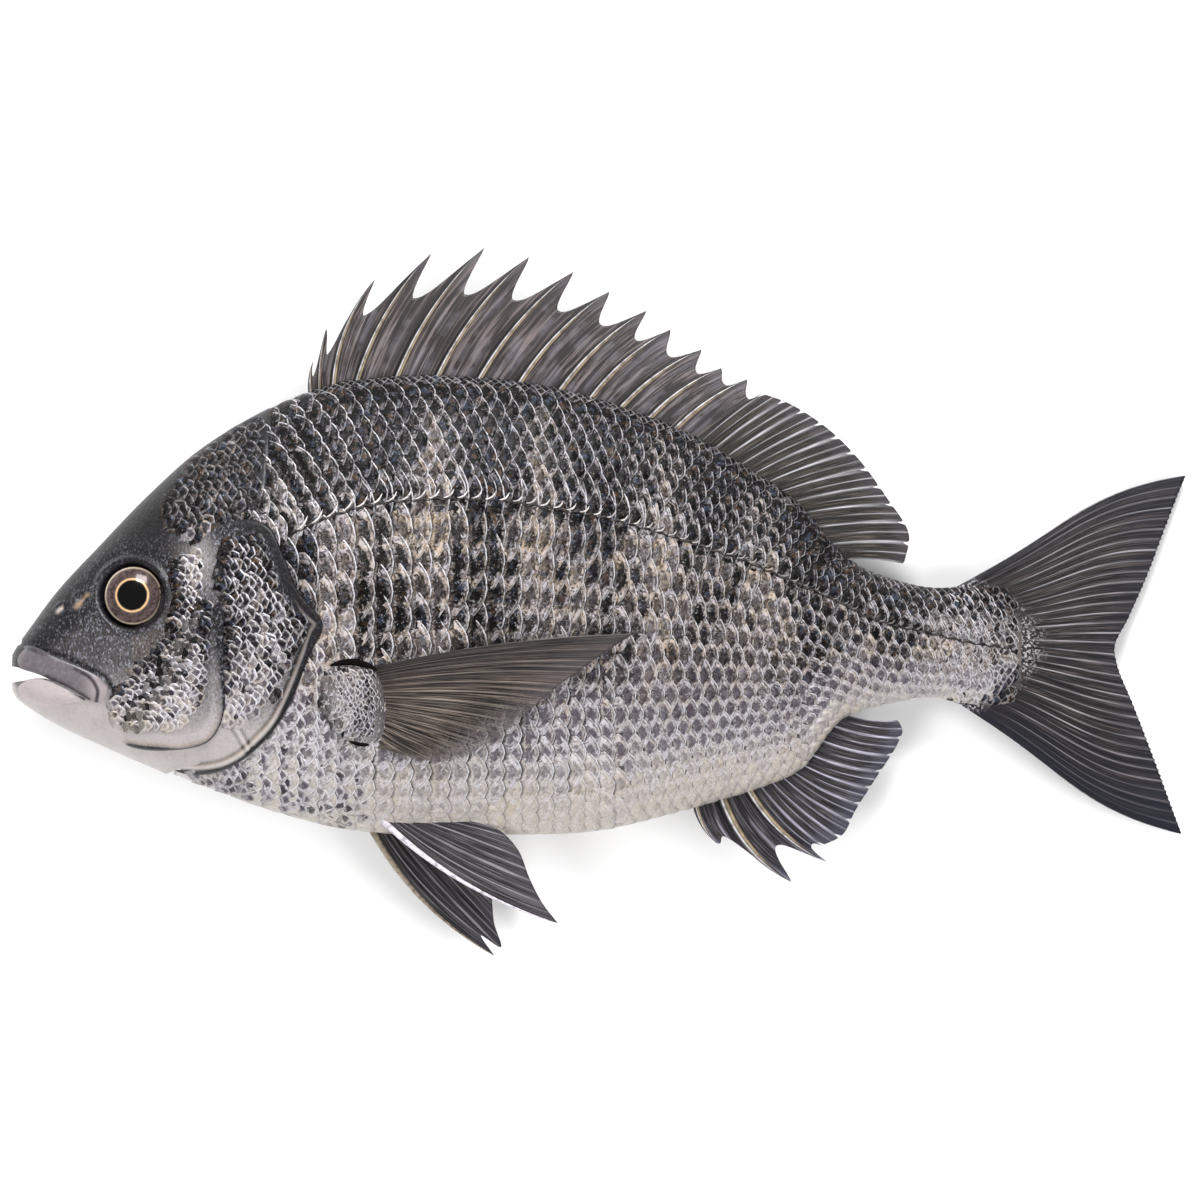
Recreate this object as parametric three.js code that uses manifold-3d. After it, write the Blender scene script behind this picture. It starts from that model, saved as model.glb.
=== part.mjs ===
// A whole raw black sea bream lying on its right flank, in millimetres.
// +X runs from snout to tail, +Y towards the back, +Z up from the table through the left flank.
// The body with its fins is one closed solid; each eyeball is a solid of its own in its socket.
import * as THREE from "three";
import { mergeVertices } from "three/addons/utils/BufferGeometryUtils.js";
import Module from "manifold-3d";

const wasm = await Module();
wasm.setup();

// Driving dimensions.
const TOTAL_LENGTH = 320; // snout to tail tips
const SNOUT_X = -TOTAL_LENGTH / 2;
const TAIL_ROOT_X = 114.8; // where the flesh ends in the tail fin
const HALF_WIDTH = 22.6; // widest half thickness, behind the gill covers
const FLATTENING = 1.8; // how far the lower flank is pressed flat by its weight
const MID_HEIGHT = HALF_WIDTH - FLATTENING; // the mid plane above the table
const TAIL_DROOP = 19; // how far the tail's end sinks from the mid plane
const DROOP_START_X = -30;
const FIN_DROOP = 0.0016; // sag of a fin's free edge, per square millimetre of its reach

// Outlines of the body without its fins, as [x, y], and its half width, as [x, z].
const BACK = [
  [-160, -14.6], [-158.4, -11.8], [-156, -8.4], [-147.5, 3], [-136.6, 14.7], [-122.9, 28.9], [-109.3, 41],
  [-95.7, 49.6], [-82, 56.1], [-68.4, 60.2], [-48, 61.7], [-27.5, 60.6], [-7, 57], [13.4, 50.4], [27, 44.4],
  [40.6, 36.3], [54.2, 26.7], [64.6, 14.5], [73.3, 8.4], [92.4, 3.8], [104, 4.6], [TAIL_ROOT_X, 4],
];
const BELLY = [
  [-160, -23.8], [-158.6, -26.2], [-156.5, -27.8], [-147.5, -33.3], [-136.6, -38.4], [-109.3, -49.9],
  [-82, -58.9], [-68.4, -61.9], [-48, -63.4], [-14, -63.1], [-0.3, -62.1], [13.4, -59.1], [32.4, -54],
  [43.3, -50.6], [54.2, -45.8], [65.4, -32.3], [73.3, -28.9], [89.7, -26.2], [104, -28.4], [TAIL_ROOT_X, -28],
];
const HALF_WIDTHS = [
  [-160, 1.4], [-158.8, 4.4], [-155, 7], [-147, 9.2], [-137, 11.6], [-127, 13.8], [-115, 16.4], [-100, 19.2],
  [-85, 21.4], [-70, 22.4], [-58, HALF_WIDTH], [-40, 22.2], [-20, 21], [0, 18.8], [27, 15], [54, 10.6],
  [73, 7.6], [92, 5.6], [104, 4.2], [TAIL_ROOT_X, 1.4],
];
const BACK_SHARPNESS = 1.24; // above 1 draws the back up into a ridge
const BELLY_SHARPNESS = 0.98;
const BODY_STATIONS = 47;
const BODY_SIDES = 28; // a multiple of four, so that a point falls on the back's and the belly's edge

// Curves.
// A smooth curve through a few [x, y] points, which never overshoots them.
function profile(points) {
  const slopes = points.map((_, i) => {
    if (i === 0 || i === points.length - 1) return null;
    const before = (points[i][1] - points[i - 1][1]) / (points[i][0] - points[i - 1][0]);
    const after = (points[i + 1][1] - points[i][1]) / (points[i + 1][0] - points[i][0]);
    return before * after <= 0 ? 0 : (2 * before * after) / (before + after);
  });
  const last = points.length - 1;
  slopes[0] = (points[1][1] - points[0][1]) / (points[1][0] - points[0][0]);
  slopes[last] = (points[last][1] - points[last - 1][1]) / (points[last][0] - points[last - 1][0]);
  return (x) => {
    let i = 0;
    while (i < last - 1 && x > points[i + 1][0]) i += 1;
    const [x0, y0] = points[i];
    const [x1, y1] = points[i + 1];
    const h = x1 - x0;
    const t = THREE.MathUtils.clamp((x - x0) / h, 0, 1);
    return (
      (1 + 2 * t) * (1 - t) ** 2 * y0 + t * (1 - t) ** 2 * h * slopes[i] +
      t * t * (3 - 2 * t) * y1 + t * t * (t - 1) * h * slopes[i + 1]
    );
  };
}

// A smooth plane curve through [x, y] points, sampled evenly by length.
function pathThrough(points, closed = false) {
  const vectors = points.map(([x, y]) => new THREE.Vector3(x, y, 0));
  const curve = new THREE.CatmullRomCurve3(vectors, closed, "centripetal");
  return (share) => {
    const p = curve.getPointAt(THREE.MathUtils.clamp(share, 0, 1));
    return [p.x, p.y];
  };
}

const mix = (a, b, t) => a + (b - a) * t;
const mixPoint = (a, b, t) => [mix(a[0], b[0], t), mix(a[1], b[1], t)];
const smooth = THREE.MathUtils.smoothstep;

const backY = profile(BACK);
const bellyY = profile(BELLY);
const halfWidth = profile(HALF_WIDTHS);
const middleY = (x) => mix(bellyY(x), backY(x), 0.5);

// Height of the mid plane over the table: the tail end bends down under its own weight.
const midZ = (x) => {
  const share = Math.max(0, (x - DROOP_START_X) / (TOTAL_LENGTH / 2 - DROOP_START_X));
  return MID_HEIGHT - TAIL_DROOP * share ** 2;
};

// Half thickness of the body at a point of the side view, 0 outside its outline.
function flank(x, y) {
  const middle = middleY(x);
  const reach = y > middle ? backY(x) - middle : middle - bellyY(x);
  const sharpness = y > middle ? BACK_SHARPNESS : BELLY_SHARPNESS;
  const inside = Math.max(0, 1 - ((y - middle) / reach) ** 2);
  return halfWidth(x) * inside ** (sharpness / 2);
}

// Solids.
// A manifold solid from a list of points and triangles, turned to face outwards.
function solidOf(points, triangles) {
  let volume = 0;
  for (const [a, b, c] of triangles) {
    const [p, q, r] = [points[a], points[b], points[c]];
    volume += p[0] * (q[1] * r[2] - q[2] * r[1]) + p[1] * (q[2] * r[0] - q[0] * r[2]) +
      p[2] * (q[0] * r[1] - q[1] * r[0]);
  }
  const facing = volume < 0 ? triangles.map(([a, b, c]) => [a, c, b]) : triangles;
  const vertProperties = new Float32Array(points.flat());
  return new wasm.Manifold(new wasm.Mesh({ numProp: 3, vertProperties, triVerts: new Uint32Array(facing.flat()) }));
}

// A manifold solid from a three.js geometry placed by a matrix.
function solidOfGeometry(geometry, matrix) {
  const bare = new THREE.BufferGeometry().setAttribute("position", geometry.getAttribute("position"));
  if (geometry.index) bare.setIndex(geometry.index);
  const merged = mergeVertices(bare.applyMatrix4(matrix), 1e-4);
  const vertProperties = new Float32Array(merged.attributes.position.array);
  return new wasm.Manifold(new wasm.Mesh({ numProp: 3, vertProperties, triVerts: new Uint32Array(merged.index.array) }));
}

// Two triangles for each cell of a grid of point numbers.
function gridFaces(number, columns, rows, flip = false) {
  const faces = [];
  for (let c = 0; c < columns - 1; c += 1) {
    for (let r = 0; r < rows - 1; r += 1) {
      const [a, b, d, e] = [number(c, r), number(c + 1, r), number(c + 1, r + 1), number(c, r + 1)];
      faces.push(flip ? [a, d, b] : [a, b, d], flip ? [a, e, d] : [a, d, e]);
    }
  }
  return faces;
}

// Body.
function bodySolid() {
  const points = [];
  const faces = [];
  for (let s = 0; s < BODY_STATIONS; s += 1) {
    // Stations crowd together at the snout, where the outline turns fastest.
    const share = s / (BODY_STATIONS - 1);
    const x = mix(SNOUT_X, TAIL_ROOT_X, mix(share, share ** 1.6, 0.6));
    const middle = middleY(x);
    for (let k = 0; k < BODY_SIDES; k += 1) {
      const turn = (k / BODY_SIDES) * 2 * Math.PI;
      const [rise, out] = [Math.sin(turn), Math.cos(turn)];
      const reach = rise > 0 ? backY(x) - middle : middle - bellyY(x);
      const sharpness = rise > 0 ? BACK_SHARPNESS : BELLY_SHARPNESS;
      points.push([x, middle + reach * rise, midZ(x) + halfWidth(x) * Math.sign(out) * Math.abs(out) ** sharpness]);
    }
  }
  const number = (s, k) => s * BODY_SIDES + (k % BODY_SIDES);
  faces.push(...gridFaces(number, BODY_STATIONS, BODY_SIDES + 1));
  for (const [station, flip] of [[0, false], [BODY_STATIONS - 1, true]]) {
    const x = points[number(station, 0)][0];
    points.push([x, middleY(x), midZ(x)]);
    for (let k = 0; k < BODY_SIDES; k += 1) {
      const [a, b] = [number(station, k), number(station, k + 1)];
      faces.push(flip ? [b, a, points.length - 1] : [a, b, points.length - 1]);
    }
  }
  return solidOf(points, faces);
}

// A plate of the head, on both flanks at once: the skin inside an outline, raised by lift(x, y).
function plateSolid(outline, centre, lift, { around = 32, rings = [1, 0.95, 0.75, 0.45] } = {}) {
  const edge = pathThrough(outline, true);
  const points = [];
  for (const side of [1, -1]) {
    for (const ring of rings) {
      for (let k = 0; k < around; k += 1) {
        const [x, y] = mixPoint(centre, edge(k / around), ring);
        points.push([x, y, midZ(x) + side * (flank(x, y) + lift(x, y))]);
      }
    }
    points.push([...centre, midZ(centre[0]) + side * (flank(...centre) + lift(...centre))]);
  }
  const half = rings.length * around + 1;
  const faces = [];
  for (const [start, flip] of [[0, false], [half, true]]) {
    const number = (k, r) => start + r * around + (k % around);
    faces.push(...gridFaces(number, around + 1, rings.length, flip));
    for (let k = 0; k < around; k += 1) {
      const [a, b] = [number(k, rings.length - 1), number(k + 1, rings.length - 1)];
      faces.push(flip ? [b, a, start + half - 1] : [a, b, start + half - 1]);
    }
  }
  for (let k = 0; k < around; k += 1) {
    const next = (k + 1) % around;
    faces.push([k, k + half, next + half], [k, next + half, next]);
  }
  return solidOf(points, faces);
}

// A fin as a closed sheet. Each column runs from foot to edge along a bowed line, which a flare bends back
// near the foot, with its half thickness at both ends. midOf(x, y, reach) is the height of the sheet's middle
// at a distance from the foot.
function finSolid(columns, rows, midOf) {
  const points = [];
  const count = columns.length;
  for (const side of [1, -1]) {
    for (const { foot, edge, bow = 0, flare = 0, thick, thin } of columns) {
      const [dx, dy] = [edge[0] - foot[0], edge[1] - foot[1]];
      const length = Math.hypot(dx, dy);
      for (let r = 0; r < rows; r += 1) {
        const t = r / (rows - 1);
        const aside = 4 * bow * t * (1 - t) - flare * Math.sin(2 * Math.PI * t);
        const [x, y] = [foot[0] + dx * t - (aside * dy) / length, foot[1] + dy * t + (aside * dx) / length];
        points.push([x, y, midOf(x, y, length * t) + side * mix(thick, thin, t)]);
      }
    }
  }
  const half = count * rows;
  const left = (c, r) => c * rows + r;
  const right = (c, r) => half + c * rows + r;
  const faces = [...gridFaces(left, count, rows), ...gridFaces(right, count, rows, true)];
  const rim = [];
  for (let c = 0; c < count - 1; c += 1) rim.push([c, 0]);
  for (let r = 0; r < rows - 1; r += 1) rim.push([count - 1, r]);
  for (let c = count - 1; c > 0; c -= 1) rim.push([c, rows - 1]);
  for (let r = rows - 1; r > 0; r -= 1) rim.push([0, r]);
  rim.forEach(([c, r], i) => {
    const [nc, nr] = rim[(i + 1) % rim.length];
    faces.push([left(c, r), right(c, r), right(nc, nr)], [left(c, r), right(nc, nr), left(nc, nr)]);
  });
  return solidOf(points, faces);
}

const finMid = (x, y, reach) => midZ(x) - FIN_DROOP * reach ** 2;

// Dorsal fin: 13 spines, whose membrane is scalloped between them, then 11 soft rays in lobes.
const SPINE_FEET_X = [-78.5, -76.6, -73, -67.3, -56.7, -45.8, -34.6, -23.7, -12.8, -4.4, 3.6, 11.4, 18.5];
const SPINE_TIPS = [
  [-78.4, 65.4], [-74.8, 74.4], [-61.6, 87.8], [-46.3, 94.9], [-31.8, 96.5], [-19.6, 94], [-7.6, 89.9],
  [2.2, 84.5], [12.3, 79.3], [18.8, 74.1], [27.3, 68.7], [32.7, 63.6], [39.8, 60.6],
];
const SPINE_THICK = 1.1;
const SPINE_THIN = 0.32;
const MEMBRANE = 0.36;
const FOOT_DEPTH = 3; // how deep the fins stand in the flesh
const SOFT_RAYS = 11;
const SOFT_FEET_X = [25.5, 64.5];
const SOFT_EDGE = pathThrough([
  [44, 56.8], [51.5, 54], [61.9, 47.2], [70.3, 38.9], [78, 28.4], [84, 18.4], [82.6, 10.4],
]);

// Depth of the scallop behind a spine, as a share of the spine: a drop to its lowest point, then a rise that
// runs up the front of the next spine.
function scallop(share, lowest, depth) {
  const drop = share < lowest
    ? Math.sin((Math.PI / 2) * (share / lowest) ** 1.3)
    : 1 - ((share - lowest) / (1 - lowest)) ** 2.5;
  return depth * drop;
}

function dorsalColumns() {
  const columns = [];
  const foot = (x) => [x, backY(x) - FOOT_DEPTH];
  const softFoot = (share) => foot(mix(...SOFT_FEET_X, share));
  const tips = [...SPINE_TIPS, SOFT_EDGE(0)];
  const feet = [...SPINE_FEET_X.map(foot), softFoot(0)];
  SPINE_TIPS.forEach((tip, i) => {
    const lowest = THREE.MathUtils.clamp(0.32 + 0.05 * (i - 1), 0.3, 0.86);
    const depth = i < 2 ? 0.5 : mix(0.4, 0.16, (i - 2) / 10);
    const thick = i < 2 ? SPINE_THICK * 0.7 : SPINE_THICK;
    for (const share of i < 2 ? [0, 0.4, 0.85] : [0, 0.12, 0.5, 0.85]) {
      const from = mixPoint(feet[i], feet[i + 1], share);
      const to = mixPoint(tip, tips[i + 1], share);
      const onSpine = share === 0;
      columns.push({
        foot: from,
        edge: mixPoint(from, to, 1 - (onSpine ? 0 : scallop(share, lowest, depth))),
        bow: i < 2 ? 0.8 : mix(3.2, 1.4, i / 12),
        thick: onSpine ? thick : MEMBRANE,
        thin: onSpine ? SPINE_THIN : MEMBRANE * 0.8,
      });
    }
  });
  columns.push(...lobeColumns(SOFT_RAYS, softFoot, SOFT_EDGE, 0.6));
  return columns;
}

// Soft rays that end in lobes with a nick between them. Each lobe's front corner steps back a little.
function lobeColumns(rays, footAt, edgeAt, bow) {
  const columns = [];
  for (let i = 0; i < rays; i += 1) {
    for (const [share, length, ray] of [[0.03, 0.93, 0], [0.3, 1, 1], [0.92, 0.99, 0]]) {
      const along = (i + share) / rays;
      const foot = footAt(along);
      columns.push({
        foot,
        edge: mixPoint(foot, edgeAt(along), length),
        bow,
        thick: ray ? SPINE_THICK * 0.75 : MEMBRANE,
        thin: ray ? MEMBRANE * 0.9 : MEMBRANE * 0.8,
      });
    }
  }
  return columns;
}

// Anal fin: three stout spines and 8 soft rays.
const ANAL_FEET_X = [25.6, 32.2, 39];
const ANAL_TIPS = [[31.6, -65.7], [51.8, -76.2], [61.3, -70.7]];
const ANAL_THICK = [1.1, 2, 1.5];
const ANAL_BOW = [-1.4, -3.2, -2.6];
const ANAL_NICKS = [[0.45, 0.42], [0.6, 0.36], [0.4, 0.14]]; // where the membrane is lowest, and how deep
const ANAL_SOFT_FEET_X = [42, 64.6];
const ANAL_SOFT_RAYS = 8;
const ANAL_EDGE = pathThrough([
  [60.2, -66.4], [65.8, -63.5], [69.5, -56.6], [75.5, -47.2], [80.7, -39], [82.2, -35], [81, -32.2],
]);

function analColumns() {
  const columns = [];
  const foot = (x) => [x, bellyY(x) + FOOT_DEPTH];
  const softFoot = (share) => foot(mix(...ANAL_SOFT_FEET_X, share));
  const feet = [...ANAL_FEET_X.map(foot), softFoot(0)];
  const tips = [...ANAL_TIPS, ANAL_EDGE(0)];
  ANAL_TIPS.forEach((tip, i) => {
    for (const share of [0, 0.12, 0.5, 0.85]) {
      const from = mixPoint(feet[i], feet[i + 1], share);
      const to = mixPoint(tip, tips[i + 1], share);
      const onSpine = share === 0;
      columns.push({
        foot: from,
        edge: mixPoint(from, to, 1 - (onSpine ? 0 : scallop(share, ...ANAL_NICKS[i]))),
        bow: ANAL_BOW[i],
        thick: onSpine ? ANAL_THICK[i] : MEMBRANE,
        thin: onSpine ? SPINE_THIN : MEMBRANE * 0.8,
      });
    }
  });
  columns.push(...lobeColumns(ANAL_SOFT_RAYS, softFoot, ANAL_EDGE, -1));
  return columns;
}

// Tail fin: forked, its outer rays bowed along the upper and lower edges.
const TAIL_RAYS = 17;
const TAIL_FOOT = pathThrough([[96, 3.6], [104, 2.6], [111, -4], [113, -12], [111, -20], [104, -26], [96, -26.6]]);
const TAIL_EDGE = pathThrough([
  [160, 34.6], [155.1, 21.8], [149.6, 7.4], [144.2, -4.6], [140.6, -12], [141.3, -17.5], [145.6, -28],
  [152.4, -45.4], [158.9, -63.5],
]);
const TAIL_BOW = 3.2;
const TAIL_FLARE = 1.3;

function tailColumns() {
  const columns = [];
  for (let i = 0; i <= 2 * TAIL_RAYS; i += 1) {
    const share = i / (2 * TAIL_RAYS);
    const onRay = i % 2 === 0;
    const outer = Math.cos(share * Math.PI) * Math.abs(Math.cos(share * Math.PI));
    columns.push({
      foot: TAIL_FOOT(share),
      edge: TAIL_EDGE(share),
      bow: TAIL_BOW * outer,
      flare: TAIL_FLARE * outer,
      thick: onRay ? 1.25 : 0.85,
      thin: onRay ? MEMBRANE * 1.1 : MEMBRANE * 0.8,
    });
  }
  return columns;
}

// Pelvic fins: a strong front spine and five branched rays, the right fin splayed further down.
const PELVIC_FEET = { left: [[-61, -57.6], [-48, -57]], right: [[-63, -61], [-49, -59]] };
const PELVIC_EDGES = {
  left: [[-11.7, -87.2], [-16, -81.6], [-19.4, -75], [-22.6, -67.2], [-28.3, -61.6], [-38, -59.6]],
  right: [[-29.2, -96.5], [-32.8, -91], [-27.3, -94.3], [-29.2, -87.5], [-30, -79], [-32, -70]],
};
const PELVIC_RISE = { left: 0.05, right: -0.12 }; // how the fin leaves its foot, up or down
const PELVIC_SIDE = 6.8; // the fins' feet, left and right of the mid plane

function pelvicSolid(side) {
  const sign = side === "left" ? 1 : -1;
  const edge = pathThrough(PELVIC_EDGES[side]);
  const columns = [];
  for (let i = 0; i <= 12; i += 1) {
    const share = i / 12;
    const spine = i === 0;
    const ray = i % 2 === 0;
    columns.push({
      foot: mixPoint(...PELVIC_FEET[side], share),
      edge: edge(share),
      bow: mix(-3.6, 0.4, Math.min(1, 2 * share)),
      thick: spine ? 1.3 : ray ? 0.8 : 0.5,
      thin: spine || ray ? SPINE_THIN : MEMBRANE * 0.8,
    });
  }
  return finSolid(columns, 5, (x, y, reach) => midZ(x) + sign * PELVIC_SIDE + PELVIC_RISE[side] * reach);
}

// Pectoral fins: fans of rays that lie back along the flank. The right one is pressed between flank and table.
const PECTORAL_RAYS = 15;
const PECTORAL_FEET = pathThrough([[-65.5, -18.6], [-62.5, -24], [-61.5, -31], [-63, -37.6]]);
const PECTORAL_EDGE = pathThrough([
  [8.4, -8.7], [-11.2, -22.4], [-27.5, -36.1], [-40, -42.8], [-49.5, -42.6], [-58.5, -39.4],
]);
const PECTORAL_LIFT = { left: 1.8, right: 0 };
const PECTORAL_STANDS_OFF = { left: 0.03, right: 0 }; // slope of the fin away from the flank
const PECTORAL_ROOT = 9; // length over which the fin comes out of the flesh

function pectoralSolid(side) {
  const sign = side === "left" ? 1 : -1;
  const columns = [];
  for (let i = 0; i <= 2 * PECTORAL_RAYS; i += 1) {
    const share = i / (2 * PECTORAL_RAYS);
    const onRay = i % 2 === 0;
    columns.push({
      foot: PECTORAL_FEET(share),
      edge: PECTORAL_EDGE(share ** 0.9),
      bow: mix(2.2, -1, share),
      thick: onRay ? 0.9 : 0.7,
      thin: side === "right" ? 0.8 : onRay ? 0.38 : 0.3,
    });
  }
  return finSolid(columns, 4, (x, y, reach) => {
    const lift = mix(-1.2, PECTORAL_LIFT[side], smooth(reach, 0, PECTORAL_ROOT)) + PECTORAL_STANDS_OFF[side] * reach;
    return midZ(x) + sign * (flank(x, y) + lift);
  });
}

// Head: gill cover, cheek and snout plates lap over each other from front to back, above the lips.
const GILL_COVER = [
  [-90.5, 21], [-85.6, 12], [-82, 3.3], [-75.4, -6], [-78.8, -14.4], [-84.8, -28.9], [-92.4, -39],
  [-102.5, -45.2], [-112, -46], [-122, -36], [-122, -10], [-110, 14], [-98, 22],
];
const CHEEK = [
  [-104, 13], [-102.2, 2], [-102, -18], [-102, -30], [-106, -37.6], [-115, -39.8], [-127, -38], [-133, -28],
  [-127, -12], [-116, 4], [-110, 12],
];
const SNOUT_PLATE = [[-157, -12], [-147, -15.6], [-135, -21], [-131, -26], [-125, -18], [-128, -8], [-143, -4], [-151, -6.5]];
const UPPER_LIP = [
  [-159.9, -15], [-156.4, -11.6], [-147, -15], [-137, -19.6], [-133.5, -23], [-135.4, -27.6], [-139, -27.4],
  [-147.5, -22.1], [-153, -19.8], [-159, -17.4],
];
const LOWER_LIP = [[-159.4, -23.4], [-157, -21.2], [-151, -20.8], [-145, -23.4], [-139.5, -26.6], [-148, -27.4], [-157, -27]];
const MOUTH_GAP = [[-166, -16.6], [-156.6, -18.1], [-147.2, -21.6], [-139, -25.9], [-147, -22.5], [-151, -21.2], [-158.4, -21.6], [-166, -23]];
const MOUTH_DEPTH = 30; // the cut runs right across the snout

const gillLift = (x) => mix(-1, 1.2, smooth(x, -122, -98));
const cheekLift = (x) => mix(-1, 1.9, smooth(x, -131, -108));

function mouthCut() {
  const shape = new THREE.Shape(MOUTH_GAP.map(([x, y]) => new THREE.Vector2(x, y)));
  const geometry = new THREE.ExtrudeGeometry(shape, { depth: MOUTH_DEPTH, bevelEnabled: false });
  return solidOfGeometry(geometry, new THREE.Matrix4().makeTranslation(0, 0, MID_HEIGHT - MOUTH_DEPTH / 2));
}

// Eyes: flattened balls that look out along the skin's normal, each in a socket with a raised rim.
const EYE = { x: -127.2, y: 1.6, radius: 8, depth: 4.6, proud: 2.4, gap: 0.35, rim: 0.9 };

function eyeFrame(sign) {
  const step = 4;
  const skin = (x, y) => flank(x, y);
  const normal = new THREE.Vector3(
    (skin(EYE.x - step, EYE.y) - skin(EYE.x + step, EYE.y)) / (2 * step),
    (skin(EYE.x, EYE.y - step) - skin(EYE.x, EYE.y + step)) / (2 * step),
    1,
  ).normalize();
  normal.z *= sign;
  const turn = new THREE.Quaternion().setFromUnitVectors(new THREE.Vector3(0, 0, 1), normal);
  const sunk = skin(EYE.x, EYE.y) + EYE.proud - EYE.depth;
  return { turn, centre: new THREE.Vector3(EYE.x, EYE.y, midZ(EYE.x) + sign * sunk) };
}

const ballGeometry = () => new THREE.SphereGeometry(1, 22, 10).rotateX(Math.PI / 2);

function eyeSolid(sign, gap) {
  const { turn, centre } = eyeFrame(sign);
  const size = new THREE.Vector3(EYE.radius + gap, EYE.radius + gap, EYE.depth + gap);
  return solidOfGeometry(ballGeometry(), new THREE.Matrix4().compose(centre, turn, size));
}

function socketRim(sign) {
  const { turn, centre } = eyeFrame(sign);
  const out = new THREE.Vector3(0, 0, 1).applyQuaternion(turn).multiplyScalar(EYE.depth - EYE.proud - 0.2);
  const geometry = new THREE.TorusGeometry(EYE.radius + EYE.rim, EYE.rim, 5, 24);
  return solidOfGeometry(geometry, new THREE.Matrix4().compose(centre.add(out), turn, new THREE.Vector3(1, 1, 1)));
}

// Nostrils: a round one in front and a slit behind it, on each side.
const NOSTRILS = [
  { x: -146, y: -1.8, long: 1.1, wide: 0.9 },
  { x: -140.6, y: 0.6, long: 1.9, wide: 0.8 },
];
const NOSTRIL_ANGLE = 0.5;
const NOSTRIL_DEPTH = 1.2;

function nostrilSolids() {
  const turn = new THREE.Quaternion().setFromAxisAngle(new THREE.Vector3(0, 0, 1), NOSTRIL_ANGLE);
  return NOSTRILS.flatMap(({ x, y, long, wide }) => [1, -1].map((sign) => {
    const centre = new THREE.Vector3(x, y, midZ(x) + sign * flank(x, y));
    const size = new THREE.Vector3(long, wide, NOSTRIL_DEPTH);
    return solidOfGeometry(new THREE.SphereGeometry(1, 8, 4), new THREE.Matrix4().compose(centre, turn, size));
  }));
}

// Everything below the table, which the fish's weight has pressed flat.
function belowTable() {
  const geometry = new THREE.BoxGeometry(2 * TOTAL_LENGTH, TOTAL_LENGTH, 40);
  return solidOfGeometry(geometry, new THREE.Matrix4().makeTranslation(0, 0, -20));
}

// The fish in one solid.
function fishSolid() {
  const added = [
    bodySolid(),
    plateSolid(GILL_COVER, [-101, -12], gillLift, { around: 40 }),
    plateSolid(CHEEK, [-114, -18], cheekLift),
    plateSolid(SNOUT_PLATE, [-139, -12], () => 0.8, { around: 20, rings: [1, 0.55] }),
    plateSolid(UPPER_LIP, [-147, -19], () => 1, { around: 20, rings: [1, 0.6] }),
    plateSolid(LOWER_LIP, [-150, -24.6], () => 1, { around: 16, rings: [1, 0.6] }),
    socketRim(1),
    socketRim(-1),
    finSolid(dorsalColumns(), 3, finMid),
    finSolid(analColumns(), 3, finMid),
    finSolid(tailColumns(), 6, (x) => midZ(x)),
    pelvicSolid("left"),
    pelvicSolid("right"),
    pectoralSolid("left"),
    pectoralSolid("right"),
  ];
  const removed = [mouthCut(), eyeSolid(1, EYE.gap), eyeSolid(-1, EYE.gap), ...nostrilSolids(), belowTable()];
  return wasm.Manifold.union(added).subtract(wasm.Manifold.union(removed));
}

// Meshes.
const SKIN = new THREE.MeshStandardMaterial({ color: 0x6f6d6c, roughness: 0.38, metalness: 0.35 });
const EYEBALL = new THREE.MeshStandardMaterial({ color: 0x2a221e, roughness: 0.08, metalness: 0 });

// The largest connected piece of a solid, as a named mesh.
function meshOf(name, solid, material) {
  const largest = solid.decompose().reduce((a, b) => (b.volume() > a.volume() ? b : a));
  const made = largest.getMesh();
  const geometry = new THREE.BufferGeometry();
  const stride = made.numProp;
  const positions = new Float32Array(made.numVert * 3);
  for (let i = 0; i < made.numVert; i += 1) {
    positions.set(made.vertProperties.subarray(i * stride, i * stride + 3), i * 3);
  }
  geometry.setAttribute("position", new THREE.BufferAttribute(positions, 3));
  geometry.setIndex(new THREE.BufferAttribute(new Uint32Array(made.triVerts), 1));
  geometry.computeVertexNormals();
  const mesh = new THREE.Mesh(geometry, material);
  mesh.name = name;
  return mesh;
}

const seaBream = new THREE.Group();
seaBream.add(meshOf("fish", fishSolid(), SKIN));
seaBream.add(meshOf("eye_left", eyeSolid(1, 0), EYEBALL));
seaBream.add(meshOf("eye_right", eyeSolid(-1, 0), EYEBALL));

export default seaBream;
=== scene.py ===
import math
import bpy
import numpy as np
from mathutils import Matrix, Vector


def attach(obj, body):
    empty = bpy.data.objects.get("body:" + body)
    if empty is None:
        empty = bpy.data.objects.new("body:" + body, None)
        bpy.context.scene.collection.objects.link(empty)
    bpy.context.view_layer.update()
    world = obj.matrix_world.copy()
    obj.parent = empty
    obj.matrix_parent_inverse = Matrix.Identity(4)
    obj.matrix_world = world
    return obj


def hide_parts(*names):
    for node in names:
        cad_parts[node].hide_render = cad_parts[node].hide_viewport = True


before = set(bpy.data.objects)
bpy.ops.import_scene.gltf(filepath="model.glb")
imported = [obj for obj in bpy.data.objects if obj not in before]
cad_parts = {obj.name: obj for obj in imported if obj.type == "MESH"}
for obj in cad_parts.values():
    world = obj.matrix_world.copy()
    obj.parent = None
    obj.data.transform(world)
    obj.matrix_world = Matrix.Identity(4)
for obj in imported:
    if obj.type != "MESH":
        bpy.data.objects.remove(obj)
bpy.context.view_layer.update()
random = np.random.default_rng(11)
print("frame loaded")

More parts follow.
